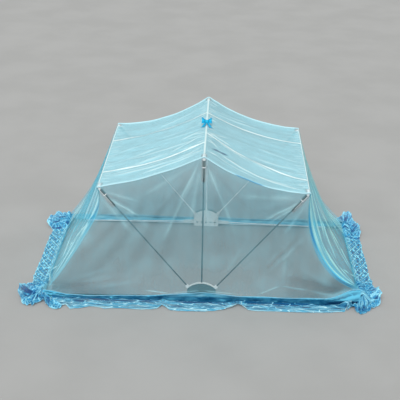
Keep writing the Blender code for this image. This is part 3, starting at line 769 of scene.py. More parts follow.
def add_roof_seam(side, index, seam, finish):
    """A narrow sewn band across one half of the roof, a little above the net."""
    s, across = grid((-0.3, 1.3, 110), (-1, 1, 5))
    t = np.clip(s, 0, 1)
    bow = 0.006 * np.sin(math.pi * t) * (1 if seam[0] > 0 else -1)
    y = lerp(*seam, t) + bow + SEAM_HALF_WIDTH * across
    height, _ = roof_relief(side, s, y)
    spots = roof_spot(side, s, y, height + SEAM_LIFT + 0.0005 * (1 - across**2))
    spots[..., 2] += 0.0008 * ((s < 0) | (s > 1))
    name = f"roof_seam_{SIDE_NAMES[side]}_{index + 1}"
    return cloth_piece(name, spots, (SEAM_HALF_WIDTH * across, t * ROOF_LENGTH), finish)


def add_roof_binding(side, facing, finishes):
    """The bound edge of the roof and wall, from the ridge down to the side bar."""
    s = roof_rows()
    height, _ = roof_relief(side, s, np.full_like(s, facing * EDGE_DEPTH))
    path = roof_spot(side, s, np.full_like(s, facing * (EDGE_DEPTH + 0.0005)), height)
    # Painted shade: partway down the right front, the binding is darkened.
    binding_shade = between(s, 0.24, 0.32) * between(0.62 - s, 0.0, 0.10) * (side == RIGHT and facing == FRONT)
    name, painted_light_and_tone = f"roof_binding_{half_name(side, facing)}", (0.5 - 1.2 * binding_shade)[:, None]
    binding = tube_piece(name, path, BINDING_RADIUS, finishes["binding"], painted_light_and_tone)
    fold_with(binding, side, "upper")
    return binding


# Side nets


def side_spot(side, y, t, out=0.0, tied=1.0):
    """Points of a side net, from t = 0 at its top to t = 1 on the floor bar.

    out moves them outwards, and tied is how far the front bottom corner is drawn in.
    """
    top_x, top_z = round_bar(UPPER_BAR, SIDE_TURN)
    low_x, low_z = FLOOR_BAR.x, FLOOR_BAR.z + NET_OFFSET + 0.0015
    length = math.hypot(low_x - top_x, low_z - top_z)
    depth = np.clip(np.abs(y) / HALF_DEPTH, 0, 1)
    label = SIDE_NAMES[side]
    ends = np.where(y > 0, SIDE_SAG[f"back_{label}"], SIDE_SAG[f"front_{label}"])
    sag = lerp(SIDE_SAG_MIDDLE, ends, np.where(y > 0, smooth_step(depth), depth**SIDE_FLARE))
    down = np.clip(t, 0, 1)
    square = (1 - np.abs(2 * down - 1) ** FRONT_DROOP[side]) * (1 + FRONT_SKEW[side] * (1 - 2 * down))
    droop = lerp(np.sin(math.pi * down**1.15), square, between(-y, 0.0, HALF_DEPTH))
    bow = sag * droop - out
    x = lerp(top_x, low_x, t) + (low_z - top_z) / length * bow
    z = lerp(top_z, low_z, t) - (low_x - top_x) / length * bow
    tied = tied * np.clip((t - 0.45) / 0.55, 0, 1) ** 1.5 * between(-y, 0.16, HALF_DEPTH)
    back, rise, pull = CORNER_PULL[side]
    return points(side * (x - pull * tied), y + back * tied, z + rise * tied)


# Creases of the side nets, as those of the roof, from the upper bar to the floor bar
SIDE_CREASES = {
    LEFT: (
        (282, -285, 723, -198, 5, 2, 850), (518, -94, 814, -207, 5, 2, 800),
        (30, 60, 970, 100, 6, 2, 400), (30, 150, 970, 190, 5, 2, -400), (30, 180, 970, 240, 6, 2, 500),
        (50, 250, 970, 285, 6, 2, 500), (870, -212, 975, -160, 3.2, 1.5, 1400),
        (20, -312, 360, -272, 4.5, 2, -1000),
    ),
    RIGHT: (
        (324, -185, 739, -220, 4, 2.5, 950), (739, -220, 971, -270, 4, 2.5, 950),
        (402, -97, 744, -76, 5.5, 2.5, 850), (744, -76, 967, -104, 5.5, 2.5, 750),
        (525, -89, 943, -125, 3.5, 2, 850), (30, 120, 970, 160, 6, 2, 500),
        (30, 190, 970, 215, 5, 2, -400), (30, 220, 970, 250, 6, 2, 500), (40, -150, 400, -100, 5, 2, 600),
        (790, -222, 880, -190, 3, 1.5, 1400), (880, -190, 990, -128, 3, 1.5, 1400),
    ),
}
# Lines that fan out down the drawn-in front edge: their number, where the last one starts, and lights
BUNDLE_LINES = 8
BUNDLE_SPREAD = {LEFT: -0.090, RIGHT: -0.130}
BUNDLE_LIGHT = {LEFT: (0.70, -0.56, 0.63, -0.35), RIGHT: (1.0, -0.5, 0.9, -0.3)}
# The front edge: width of its blue border, and how far the pale band beside it reaches
FRONT_BORDER = {LEFT: (0.012, 0.160), RIGHT: (0.030, 0.115)}


def side_relief(side, t, y):
    """Height of the side net's folds, the light they give it, and how far it is bundled at the front."""
    chance = np.random.default_rng(300 + side)
    lines = in_metres(SIDE_CREASES[side], SIDE_LENGTH)
    top, middle = 0.02 * SIDE_LENGTH, 0.5 * SIDE_LENGTH
    for i in range(BUNDLE_LINES):
        share = max((i + chance.uniform(-0.2, 0.2)) / (BUNDLE_LINES - 1), 0.0)
        high = lerp(-EDGE_DEPTH + 0.004, BUNDLE_SPREAD[side], share)
        low = lerp(-EDGE_DEPTH + 0.002, -0.235, share)
        light = BUNDLE_LIGHT[side][i % 4] * (1 - 0.25 * share)
        bend = lerp(high, low, 0.62) - 0.004
        lines.append((top, high, middle, bend, lerp(0.0060, 0.0080, share), 0.0028, light))
        lines.append((middle, bend, SIDE_LENGTH, low, lerp(0.0055, 0.0060, share), 0.0028, light))
    along = t * SIDE_LENGTH
    height, light = creases(along, y, lines)
    u = (y / EDGE_DEPTH + 1) / 2
    fade = np.sin(math.pi * t) * np.sin(math.pi * u)
    height += SIDE_FOLD * np.sin(TURN * SIDE_FOLDS * u + side) * fade
    soft = long_folds(along, y, 0.05, 70 + side)
    height += 0.0018 * soft * np.sin(math.pi * t)
    reach = lerp(0.100, 0.034, np.clip(t, 0, 1) ** 0.8)
    bundled = between(-y, EDGE_DEPTH - reach, EDGE_DEPTH - 0.35 * reach)
    return height, np.clip(light + 0.22 * soft, -1, 1), bundled


def side_looks(side, t, y, light, bundled):
    """Layers, and painted light and tone, of a side net."""
    right = side == RIGHT
    inward = EDGE_DEPTH + y
    width, reach = FRONT_BORDER[side]
    edge = between(width - inward, 0.0, 0.008)
    glow = between(inward, width - 0.006, width + 0.006)
    glow = glow * between(reach * (1 - 0.55 * t) - inward, 0.0, 0.025)
    glow = glow * (0.72 + 0.38 * np.sin(TURN * (inward * (1 + 0.6 * t) - width) / 0.019 + 0.6))
    thin = between(t, 0.15, 0.6) * (1 - bundled)
    fill = between(-y, -0.06, 0.08) * between(t, 0.2, 0.5) * (side == LEFT)
    over_bar = between(t, 0.975, 0.99)
    far_foot = between(y, 0.17, 0.25) * between(t, 0.65, 0.85)
    bar_shadow = hill(t, 0.952, 0.009) * (side == LEFT)
    layers = 1.0 - 0.30 * thin + 2.4 * np.maximum(light, 0) + 1.0 * bundled + 0.55 * fill
    layers += 0.6 * between(y, EDGE_DEPTH - 0.04, EDGE_DEPTH) + 0.8 * between(0.10 - t, 0.0, 0.10)
    layers += 1.2 * over_bar + 2.2 * edge + (1.7 if right else 0.4) * glow
    layers += 0.8 * far_foot + 1.0 * bar_shadow
    painted_light_and_tone = light + (-0.6 if right else -0.45) * edge + (0.22 if right else 0.1) * glow + 0.7 * over_bar
    painted_light_and_tone += 0.25 * between(0.35 - t, 0.0, 0.3) + 0.20 * fill + 0.8 * far_foot - 1.0 * bar_shadow
    painted_light_and_tone += (0.25 + 0.40 * between(y, -0.16, -0.02)) * between(0.95 - t, 0.0, 0.35) * right
    return layers, painted_light_and_tone


def add_side_net(side, finishes):
    label = SIDE_NAMES[side]
    t, y = grid((0, 1, 120), (-EDGE_DEPTH, EDGE_DEPTH, 341))
    height, light, bundled = side_relief(side, t, y)
    looks = side_looks(side, t, y, light, bundled)
    spots = side_spot(side, y, t, height)
    layout, finish = (y, t * SIDE_LENGTH), finishes[f"side_{label}"]
    net = cloth_piece(f"side_net_{label}", spots, layout, finish, *looks, rows_back=side == RIGHT)
    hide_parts(f"{label}_side_net")
    fold_with(net, side, "lower")


# Front and back walls


def roof_edge_height(side, facing, x):
    """Height of the roof's front or back edge above x."""
    s = roof_rows()
    section = roof_spot(side, s, np.full_like(s, facing * EDGE_DEPTH))
    return np.interp(np.abs(x), np.abs(section[:, 0]), section[:, 2])


# The front hem's top edge: (x, height)
FRONT_HEM = (
    (-600, 34), (-560, 30), (-510, 16), (-420, 13), (-340, 16), (-160, 24), (-60, 36), (0, 41), (60, 37),
    (140, 31), (300, 30), (460, 32), (520, 42), (560, 50), (600, 52),
)


def along_table(table, x):
    """The other columns of a table at each x of its first column."""
    place, *values = np.array(table).T / THOUSAND
    return [np.interp(x, place, value) for value in values]


def hem_top(facing, x):
    return along_table(FRONT_HEM, x)[0] if facing == FRONT else HEM_HEIGHT


def foot_plane(facing, x, z):
    """How far from the middle the wall stands near its foot, drawn in at the right front corner."""
    if facing == BACK:
        return WALL_PLANE
    tucked = between(x, 0.45, 0.57) * between(0.15 - z, 0.0, 0.09) * between(z, 0.024, 0.050)
    return WALL_PLANE - TUCK * tucked


def wall_spot(side, facing, across, t):
    """Points of a wall, from its middle (across 0) to its side edge and from the roof to the hem."""
    edge_y = np.array(facing * EDGE_DEPTH)
    top = side_spot(side, edge_y, np.array(0.0))
    foot_x, _, foot_z = side_spot(side, edge_y, np.array(1.0), tied=0.0)
    edge = side_spot(side, edge_y, t, tied=0.0)
    drop = (top[2] - edge[..., 2]) / (top[2] - foot_z)
    foot = hem_top(facing, across * foot_x)
    z = lerp(roof_edge_height(side, facing, across * abs(top[0])), foot, drop)
    wave = 1 - np.cos(TURN * WALL_FOLDS * side * across * (1 - 0.4 * t))
    fold = WALL_FOLD * wave * np.sin(math.pi * t) * (1 - across**6)
    x = side * across * np.abs(edge[..., 0])
    return points(x, facing * (foot_plane(facing, x, z) + fold), z)


# Creases of the walls: (x, z) at both ends, then half width, height and light
WALL_CREASES = {
    FRONT: (
        (-12, 575, -90, 400, 5, 2, 500), (-16, 560, -140, 260, 7, 2, 400),
        (-10, 560, -45, 330, 9, 2, 300), (-20, 555, -190, 330, 12, 2.5, -250),
        (-30, 560, -230, 420, 9, 2, 300), (4, 570, 20, 300, 7, 2, 220), (8, 565, 75, 400, 4.5, 1.8, 500),
        (12, 560, 115, 300, 9, 2.2, 300), (20, 555, 170, 380, 11, 2.2, -250),
        (-370, 436, -215, 345, 5, 2.5, 550), (-375, 430, -240, 270, 11, 2.5, 320),
        (-365, 446, -230, 410, 6, 2, 400), (-355, 440, -245, 385, 6, 2, -350),
        (-290, 380, -180, 300, 9, 2, 220), (370, 440, 206.4, 342, 5, 2.5, 500),
        (365, 434, 224.9, 330, 4, 1.8, 450), (370, 425, 290, 290, 6, 2.2, 350),
        (340, 440, 130, 440, 12, 2.2, 350), (330, 420, 190, 380, 9, 2, -220),
        (381.4, 294, 240.5, 133, 8, 3, 200), (350, 300, 230, 150, 8, 3, -220),
        (303.6, 227, 300.2, 97, 8, 2.5, 180), (150, 250, 90, 120, 10, 2.5, 200),
        (210.7, 40, 292.6, 81, 3.5, 1.8, 600), (292.6, 81, 392.5, 65, 3.5, 1.8, 500),
        (392.5, 65, 500, 40, 5, 1.8, 300), (-215, 43, -115, 31, 3, 1.5, 900),
        (-115, 33, 0, 49, 3, 1.5, 500), (0, 49, 140, 37, 3, 1.5, 600),
        (-520, 60, -320, 140, 10, 2.5, 140), (-490, 50, -300, 95, 8, 2.5, -200),
        (-400, 45, -220, 80, 8, 2, 140), (530, 60, 360, 150, 10, 2.5, 80),
        (510, 62, 360, 92, 13, 0, -450), (460, 80, 300, 120, 12, 0, -300),
    ),
    BACK: (
        (0, 560, -150, 250, 9, 2, 350), (0, 560, 120, 200, 9, 2, 350), (0, 560, 30, 300, 11, 2, 300),
        (-350, 430, -150, 150, 11, 2, 300), (350, 430, 150, 150, 11, 2, 300),
        (-360, 430, -300, 200, 10, 2, 250), (360, 430, 280, 180, 10, 2, 250),
    ),
}
THIN_WIDTH = 0.0085
THIN_LENGTH = 0.08


def thinned(x, z):
    """How far the net is stretched thin over the legs of the raised elbows, from 0 to 1."""
    thin = 0
    for side in (0, LEFT, RIGHT):  # 0 is the ridge
        bar, pivot = (UPPER_BAR, UPPER_PIVOT) if side else (RIDGE_BAR, LOWER_PIVOT)
        place = np.array((side * bar.x, bar.z))
        run = np.array((side * pivot.x, pivot.z)) - place
        run = run / np.linalg.norm(run)
        along = np.clip((x - place[0]) * run[0] + (z - place[1]) * run[1], 0, THIN_LENGTH)
        gap = np.hypot(x - place[0] - along * run[0], z - place[1] - along * run[1])
        thin = np.maximum(thin, np.exp(-((gap / THIN_WIDTH) ** 4)))
    return thin


def wall_looks(side, facing, across, x, z, light):
    """Layers, and painted light and tone, of a wall, with painted shade low between the middle and the
    sides, and in a patch up on the right of the front.
    """
    out = np.abs(x)
    front = facing == FRONT
    corner = between(-x, 0.46, 0.57) * between(0.085 - z, 0.0, 0.05)
    corner = (corner + between(x, 0.42, 0.56) * between(0.07 - z, 0, 0.04)) * front
    light += corner * (np.where(x < 0, -0.45, 0.55) + 0.6 * folds(x, z * 1.5, 0.05, 84, 0.2))
    top = roof_edge_height(side, facing, x)
    low = between(hem_top(facing, x) + 0.05 - z, 0.0, 0.05)
    layers = 1.0 + 1.6 * np.maximum(light, 0) - 0.5 * np.maximum(-light, 0)
    layers += 0.9 * between(across, 0.93, 0.995)
    layers += 0.7 * between(z - top, -0.035, 0.0) + 0.6 * low * between(out, 0.10, 0.5)
    layers += 0.42 * between(z, 0.18, 0.5) + np.where(x < 0, 0.8, 1.4) * corner
    layers -= 0.25 * between(0.24 - out, 0.0, 0.12) * between(0.18 - z, 0.0, 0.06)
    layers = np.maximum(layers, 0.4) * (1 - 0.9 * thinned(x, z))
    shade = between(out, 0.20, 0.40) * between(np.where(x < 0, 0.10, 0.15) - z, 0.0, 0.06) * (1 - corner)
    shade = (shade + hill(x, 0.33, 0.05) * hill(z, 0.33, 0.04)) * front
    return layers + 0.4 * shade, np.clip(light - 0.7 * shade, -1, 1)


def add_wall(side, facing, finishes):
    """One half of the front or back net, with its binding, hem and lace."""
    label = half_name(side, facing)
    t, across = grid((0, 1, 200), (0, 1, 261))
    spots = wall_spot(side, facing, across, t)
    x, z = spots[..., 0], spots[..., 2]
    height, light = creases(x, z, in_metres(WALL_CREASES[facing]))
    soft = long_folds(z, x, 0.11, 80 + facing)
    clouds = crumple(x, z, 0.12, 90 + facing)
    inside = np.sin(math.pi * t) ** 0.5 * (1 - across**6)
    spots[..., 1] += facing * (height + np.abs(0.0014 * soft + 0.0012 * clouds)) * inside
    looks = wall_looks(side, facing, across, x, z, 1.25 * light + 0.09 * soft + 0.10 * clouds)
    back = side * facing == 1
    wall = cloth_piece(f"wall_{label}", spots, (x, z), finishes["wall"], *looks, columns_back=back)
    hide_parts(f"{FACING_NAMES[facing]}_net")
    binding = add_roof_binding(side, facing, finishes)
    trims = add_hem(side, facing, finishes)
    fold_with(wall, side, "lower", HEM_HEIGHT)
    add_front_lace(side, facing, finishes)


# Hems

HEM_END = 0.594
PIPING_END = 0.50
# Creases of the front hem, as those of the walls, which fan out from the corners
HEM_CREASES = (
    (600, 50, 430, 30, 2.2, 0, 900), (600, 44, 470, 24, 2.6, 0, -450), (600, 40, 440, 16, 2.2, 0, 600),
    (600, 34, 480, 10, 2.6, 0, -450), (-600, 34, -470, 13, 2, 0, 900), (-600, 28, -500, 9, 2.4, 0, -1000),
    (-600, 24, -520, 4, 2, 0, 900), (-590, 14, -540, 2, 2.4, 0, -1000),
)


def hem_looks(facing, x, z, up, mottled):
    """Layers, and painted light and tone, of the dark band: blue at its ends, lighter and darker along its
    creases and fold lines, and sheer over the front hub.
    """
    front = facing == FRONT
    wedge = between(x, 0.38, 0.48) * between(z, 0.023, 0.031) * front
    painted_light_and_tone = 0.9 * between(up, 0.82, 0.98) + 0.45 * between(mottled, 0.7, 1.4)
    painted_light_and_tone += 1.1 * between(-x, 0.46, 0.55) - 0.5 * between(-mottled, 0.2, 1.2)
    painted_light_and_tone = lerp(painted_light_and_tone, 0.48 + 0.3 * mottled, wedge)
    painted_light_and_tone -= 0.7 * between(x, 0.42, 0.48) * between(0.027 - z, 0.0, 0.006) * front
    painted_light_and_tone += creases(x, z, in_metres(HEM_CREASES))[1] * front
    streaks = folds(x * 0.5, z * 4, 0.07, 132 + facing, 0.13)
    painted_light_and_tone += 0.9 * streaks * (between(-x, 0.20, 0.36) + 0.5 * between(x, 0.36, 0.5))
    near_hub = between(0.20 - np.abs(x), 0.0, 0.14) * front
    return 1.0 - 0.85 * near_hub * between(up, 0.52, 0.66) - 0.45 * wedge, np.clip(painted_light_and_tone, -1, 1)


def lining_looks(x, up, mottled):
    """Layers, and the lighter and darker tone, of the lining: mottled, darker towards the bottom, and
    thinning out to its top.
    """
    painted_light_and_tone = 0.5 * mottled - 0.35 * between(0.35 - up, 0.0, 0.3)
    layers = 1.0 - 0.75 * between(up + 0.12 * crumple(x, 0.0, 0.08, 134), 0.62, 1.0)
    return layers, np.clip(painted_light_and_tone, -1, 1)


# The bands: name, how far outside the wall, height of the lower edge, and outward share of the folds
HEM_BANDS = (("hem", 0.0022, 0.001, 1.0), ("hem_lining", -0.0020, 0.0065, -0.2))


def add_hem(side, facing, finishes):
    """The dark band outside the wall's foot, its pale lining inside, and the cord and piping along it."""
    label = half_name(side, facing)
    up, across = grid((0, 1, 33), (0, 1, 221))
    x = side * across * HEM_END
    trims = []
    for name, offset, low, outward in HEM_BANDS:
        z = lerp(low, hem_top(facing, x), up)
        wave = 0.0016 * long_folds(z, x, 0.07, 110 + facing) + 0.0010 * crumple(x, z, 0.02, 120 + facing)
        y = facing * (foot_plane(facing, x, z) + offset + outward * np.abs(wave))
        mottled = crumple(x, z * 2.5, 0.05, 130 + facing)
        looks = hem_looks(facing, x, z, up, mottled) if name == "hem" else lining_looks(x, up, mottled)
        back = side * facing == -1
        piece_name, spots = f"{name}_{label}", points(x, y, z)
        trims.append(cloth_piece(piece_name, spots, (x, z), finishes[name], *looks, columns_back=back))
    x = side * np.linspace(0, 1, 160) * HEM_END
    top = hem_top(facing, x)
    path = points(x, facing * (foot_plane(facing, x, top) + 0.0026), top + 0.0012 * np.sin(x * 34))
    trims.append(tube_piece(f"hem_cord_{label}", path, CORD_RADIUS, finishes["binding"], -0.40))
    x = side * np.linspace(0, 1, 120) * PIPING_END
    path = points(x, facing * (foot_plane(facing, x, 0.0) - 0.0025), 0.0048)
    trims.append(tube_piece(f"hem_piping_{label}", path, PIPING_RADIUS, finishes["tape"]))
    for trim in trims:
        fold_with(trim, side, "lower", HEM_HEIGHT)
    return trims


# Front and back laces

# The front lace's outer edge: (x, how far it reaches from the middle, height)
FRONT_LACE_EDGE = (
    (-560, 372, 6), (-513, 384, 4), (-500, 378, 5), (-480, 401, 1), (-441, 393, 1), (-410, 381, 2),
    (-377, 384, 1), (-355, 393, 1), (-316, 386, 1), (-279, 386, 1), (-223, 391, 1), (-186, 387, 1),
    (-161, 382, 2), (-144, 366, 10), (-128, 377, 6), (-112, 388, 1), (-76, 392, 1), (16, 390, 1),
    (53, 382, 1), (86, 374, 4), (115, 364, 11), (138, 350, 16), (152, 356, 12), (174, 370, 2),
    (200, 376, 1), (292, 374, 1), (366, 375, 1), (457, 371, 1), (495, 366, 1), (515, 362, 1),
    (530, 361, 1), (537, 350, 8), (545, 338, 18), (560, 336, 18),
)
# Where the front lace leaves the hem: (x, share of the hem's height)
FRONT_LACE_TOP = (
    (-580, 600), (-450, 300), (-300, 200), (-180, 200), (-130, 120), (0, 80), (100, 100), (150, 450),
    (200, 340), (360, 340), (440, 200), (510, 200), (535, 550), (580, 600),
)
BACK_LACE_TOP = 0.34
LACE_END = 0.558


def front_lace_edge(facing, x):
    """How far the lace reaches from the middle at x, and the height of its edge."""
    if facing == BACK:
        ends = between(np.abs(x), 0.47, LACE_END)
        return LACE_REACH - 0.006 + 0.006 * np.sin(17 * x + 1) - 0.045 * ends**2, 0.001
    return along_table(FRONT_LACE_EDGE, x)


def lace_top(facing, x):
    return along_table(FRONT_LACE_TOP, x)[0] if facing == FRONT else BACK_LACE_TOP


def add_front_lace(side, facing, finishes):
    """The gathered lace that leaves one half of the hem and lies on the floor before it."""
    label = half_name(side, facing)
    out, x = grid((0, 1, 60), (0, side * LACE_END, 420))
    reach, edge_z = front_lace_edge(facing, x)
    reach = reach + 0.0010 * np.abs(np.sin(x * 95)) - 0.0005
    y = lerp(foot_plane(facing, x, 0.0) + 0.0040, reach, out)
    start_z = lace_top(facing, x) * hem_top(facing, x)
    fall = between(0.30 - out, 0.0, 0.30)
    z = np.where(fall > 0, lerp(edge_z, start_z, fall), edge_z * between(out, 0.35, 1.0) ** 1.5)
    wander = 0.30 * np.sin(x * 13 + facing) + 0.18 * np.sin(x * 31 + 2)
    rolls = 0.5 + 0.5 * np.sin(TURN * (1.5 * out + wander) + 1.0)
    rough = crumple(x * 0.6, y * 2.2, 0.045, 140 + facing)
    lines = folds(x * 0.42, y * 2.4, 0.036, 142 + facing, 0.15)
    soft = crumple(x * 0.35, y * 3.0, 0.040, 144 + facing, 8)
    window = np.sin(math.pi * out) ** 0.7
    z = z + (0.0036 * rolls + 0.0020 * np.abs(rough) + 0.0020 * lines) * window + 0.0010
    layers = 0.9 + 1.1 * lines + 0.8 * rolls**3 * window + 1.2 * between(out, 0.84, 0.97)
    layers -= 0.40 * between(soft, 0.2, 1.0)
    # Painted light and shade: brighter along the fold lines, the tops of the rolls and where the edge is
    # lifted; darker in patches between the fold lines and in a band where the lace leaves the hem.
    painted_light_and_tone = 0.95 * between(lines, 0.35, 1.0) + 0.35 * between(out, 0.80, 0.95) + 0.32 * soft
    painted_light_and_tone += 0.3 * (rolls - 0.5) * window - 0.7 * between(rough, 0.3, 1.2) * window * (1 - lines)
    painted_light_and_tone -= 1.1 * between(0.36 - out, 0.0, 0.22) * (1 - 0.7 * lines) * (1 - between(x, 0.45, 0.50))
    painted_light_and_tone = np.clip(painted_light_and_tone + 0.2 * edge_z / 0.016 * between(out, 0.4, 0.9), -1, 1)
    spots, back = points(x, facing * y, z), side * facing == -1
    lace = cloth_piece(f"lace_{label}", spots, (x, y), finishes["lace"], layers, painted_light_and_tone, columns_back=back)
    fold_with(lace, side, "lower", HEM_HEIGHT)


# Side laces with their ruffles

# The lace's outer edge round each corner: (how far it reaches to the side, and to the front
# or back, its height, the hump over the bar beside it, the belly halfway out)
CORNER_EDGES = {
    (FRONT, LEFT): (
        (660, 170, 2, 0, 3), (653, 222, 6, 4, 4), (650, 262, 20, 10, 6), (662, 292, 36, 14, 0),
        (683, 305, 42, 15, -20), (684, 328, 31, 15, -22), (680, 344, 16, 15, -12), (673, 359, 6, 16, 4),
        (659, 376, 1, 18, 14), (641, 386, 1, 20, 16), (623, 389, 1, 20, 14), (610, 376, 5, 18, 8),
        (594, 363, 7, 16, 4), (573, 378, 4, 15, 6), (556, 396, 1, 14, 12), (537, 406, 1, 12, 14),
        (521, 403, 1, 10, 10), (512, 388, 6, 8, 6),
    ),
    (FRONT, RIGHT): (
        (662, 120, 2, 0, 3), (657, 165, 4, 6, 4), (655, 205, 18, 20, 8), (671, 254, 36, 30, 4),
        (674, 288, 30, 32, -4), (667, 304, 12, 33, 10), (650, 322, 1, 34, 14), (636, 334, 6, 34, 6),
        (625, 346, 1, 33, -4), (604, 367, 1, 32, -12), (587, 374, 1, 30, -12), (575, 361, 1, 28, -8),
        (564, 343, 12, 24, 0), (553, 339, 16, 18, 4), (540, 352, 4, 12, 8),
    ),
    (BACK, LEFT): (
        (661, 150, 2, 0, 3), (662, 228, 3, 4, 3), (676, 243, 10, 18, 12), (686, 260, 20, 26, 10),
        (682, 286, 26, 26, 4), (665, 312, 27, 26, 0), (650, 330, 26, 26, 2), (626, 336, 24, 25, 4),
        (600, 338, 22, 24, 4), (578, 344, 12, 20, 4), (556, 352, 4, 12, 4),
    ),
    (BACK, RIGHT): (
        (661, 150, 2, 0, 3), (656, 206, 3, 6, 4), (660, 236, 14, 16, 6), (666, 262, 26, 18, -6),
        (664, 292, 30, 18, -14), (657, 322, 26, 20, -4), (646, 340, 24, 22, 6), (640, 352, 34, 24, 4),
        (634, 376, 46, 24, -4), (619, 382, 48, 24, -4), (598, 366, 40, 22, 0), (575, 362, 26, 18, 4),
        (552, 368, 8, 12, 4),
    ),
}
CORNER_COLUMNS = 190
SECTION_KNOTS = (0.0, 0.10, 0.24, 0.62, 1.0)  # from under the bar, over it, to the outer edge
SIDE_REACH = 0.059  # of the plain stretch, from the bar
CORNER_SLACK = 1.25  # cloth per length of the outer edge
# ROLL_START also places the painted shadow line at the foot of that ruffle.
ROLL_START = {LEFT: 0.222, RIGHT: 0.205}  # where the ruffle at the back begins along the bar


def corner_columns(facing, side):
    """Columns of the lace round one corner, from the straight part to its end.

    Gives the edge's table at each column, the bar's place and the length so far.
    """
    keys = np.array(CORNER_EDGES[facing, side]) / THOUSAND
    steps = np.hypot(*np.diff(keys[:, :2], axis=0).T)
    length = np.concatenate([[0.0], np.cumsum(steps)])
    place = np.linspace(0, length[-1], CORNER_COLUMNS)
    beside = np.clip(place / (HALF_DEPTH - keys[0, 1] + 0.02), 0, 1)
    return through(length, keys, place), lerp(keys[0, 1], HALF_DEPTH - 0.002, beside), place


def side_lace_columns(side):
    """Columns of a side lace from front to back: edge, hump, belly, and place on the bar and cloth."""
    front, front_bar, front_length = corner_columns(FRONT, side)
    back, back_bar, back_length = corner_columns(BACK, side)
    front_y, back_y = front[0, 1], back[0, 1]
    middle = np.linspace(-front_y, back_y, CORNER_COLUMNS)[1:-1]
    plain = points(FLOOR_BAR.x + SIDE_REACH, middle, 0.002)
    flat = np.full((len(middle), 2), (0.0, 0.003))
    edge = np.concatenate([front[::-1, :3] * (1, -1, 1), plain, back[:, :3]])
    hump, belly = np.concatenate([front[::-1, 3:], flat, back[:, 3:]]).T
    bar_y = np.concatenate([-front_bar[::-1], middle, back_bar])
    front_cloth = -front_y - CORNER_SLACK * front_length[::-1]
    cloth = np.concatenate([front_cloth, middle, back_y + CORNER_SLACK * back_length])
    return edge, hump, belly, bar_y, cloth


def add_side_lace(side, finishes):
    """The lace round one floor bar, which lies flat beside it and ruffles round its elbows."""
    label = SIDE_NAMES[side]
    edge, hump, belly, bar_y, cloth = side_lace_columns(side)
    ruffled = np.clip(hump / 0.012, 0, 1)

    # Section of each column, from under the bar over it and down to the outer edge
    gap = np.stack([edge[:, 0] - FLOOR_BAR.x, edge[:, 1] - bar_y], axis=-1)
    reach = np.linalg.norm(gap, axis=1)
    gap = gap / reach[:, None]
    reach = reach + (0.0022 * np.abs(np.sin(cloth * 100)) + 0.0015 * np.sin(cloth * 31 + side))
    wide, low = NET_OFFSET + hump, edge[:, 2]
    distance = (-0.006 - 0.3 * hump, 0.0 * hump, 0.006 + 0.55 * hump, 0.55 * reach, reach)
    height = (0.010 + 0.3 * hump, FLOOR_BAR.z + wide, FLOOR_BAR.z + 0.6 * wide, 0.5 * low + belly, low)
    share = np.linspace(0, 1, 64)[:, None]
    distance, z = (through(SECTION_KNOTS, values, share[:, 0]) for values in (distance, height))

    # Folds of the gathered cloth
    across = share * reach
    rough = crumple(cloth, across, 0.042, 150 + side)
    lines = folds(cloth, across * 0.45, 0.040, 152 + side, 0.15)
    small = folds(cloth * 1.6, across * 0.6, 0.030, 154 + side, 0.12)
    pleats = np.sin(TURN * cloth / 0.012 + 3 * rough) * between(0.5 - share, 0.0, 0.35)
    loose = between(share, 0.12, 0.35)
    z = z + (0.0034 * np.abs(rough) + 0.0020 * lines + 0.0008 * small) * ruffled * loose
    z = z + 0.0014 * pleats * ruffled + (0.0016 * np.abs(rough) + 0.0008 * lines) * loose
    distance += 0.0025 * rough * ruffled * loose
    sway = 0.05 * rough * ruffled * share * between(1.0 - share, -0.1, 0.25)
    x = FLOOR_BAR.x + distance * (gap[:, 0] - sway * gap[:, 1])
    y = bar_y + distance * (gap[:, 1] + sway * gap[:, 0])
    z = np.maximum(z, 0.0009)

    # Looks
    plain = 1 - ruffled
    layers = 1.0 + ruffled * (1.4 + 1.2 * lines + 0.7 * small) + 0.9 * between(share, 0.95, 0.99)
    layers += 1.0 * between(0.14 - share, 0.0, 0.06)
    # Painted light and shade: brighter along the fold lines, darker in the valleys between them and in the
    # hollow of each ruffle.
    shaded_valley = between(-rough, 0.1, 1.0)
    painted_light_and_tone = ruffled * (0.75 * lines + 0.3 * small + 0.10 * pleats - 0.8 * shaded_valley * (1 - lines) - 0.03)
    mottled = crumple(cloth * 0.6, across * 1.4, 0.020, 158 + side, 12)
    painted_light_and_tone += plain * (0.35 * mottled - 0.15 * (side == RIGHT)) * loose
    painted_light_and_tone += 0.45 * between(share, 0.92, 0.97) + 0.25 * plain * (lines - shaded_valley)
    shaded_hollow = between(0.004 - belly - z, 0.0, 0.012)
    shaded_hollow = shaded_hollow * between(share, 0.2, 0.4) * between(0.95 - share, 0.0, 0.3)
    beside_bar = between(share, 0.16, 0.2) * between(0.34 - share, 0, 0.06)
    painted_light_and_tone = painted_light_and_tone - 0.8 * shaded_hollow * ruffled + plain * (0.55 * beside_bar)
    # Painted shadow: a dark line at the foot of the ruffle at the back, where it begins along the bar.
    foot = hill(np.abs(bar_y), ROLL_START[side], 0.006) * (bar_y > 0) * loose
    gathers = hill(bar_y, -0.295, 0.022) * between((0.80 if side == RIGHT else 0.45) - share, 0.0, 0.3)
    looks = layers, np.clip(painted_light_and_tone - 0.6 * foot + 0.5 * gathers, -1, 1), 1.0 - 0.5 * ruffled

    name, spots, finish = f"side_lace_{label}", points(side * x, y, z), finishes["side_lace"]
    lace = cloth_piece(name, spots, (cloth, across), finish, *looks, columns_back=side == LEFT)
    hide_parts(f"{label}_lace")
    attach(lace, f"{label}_lower")
    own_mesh(lace)


# Casings


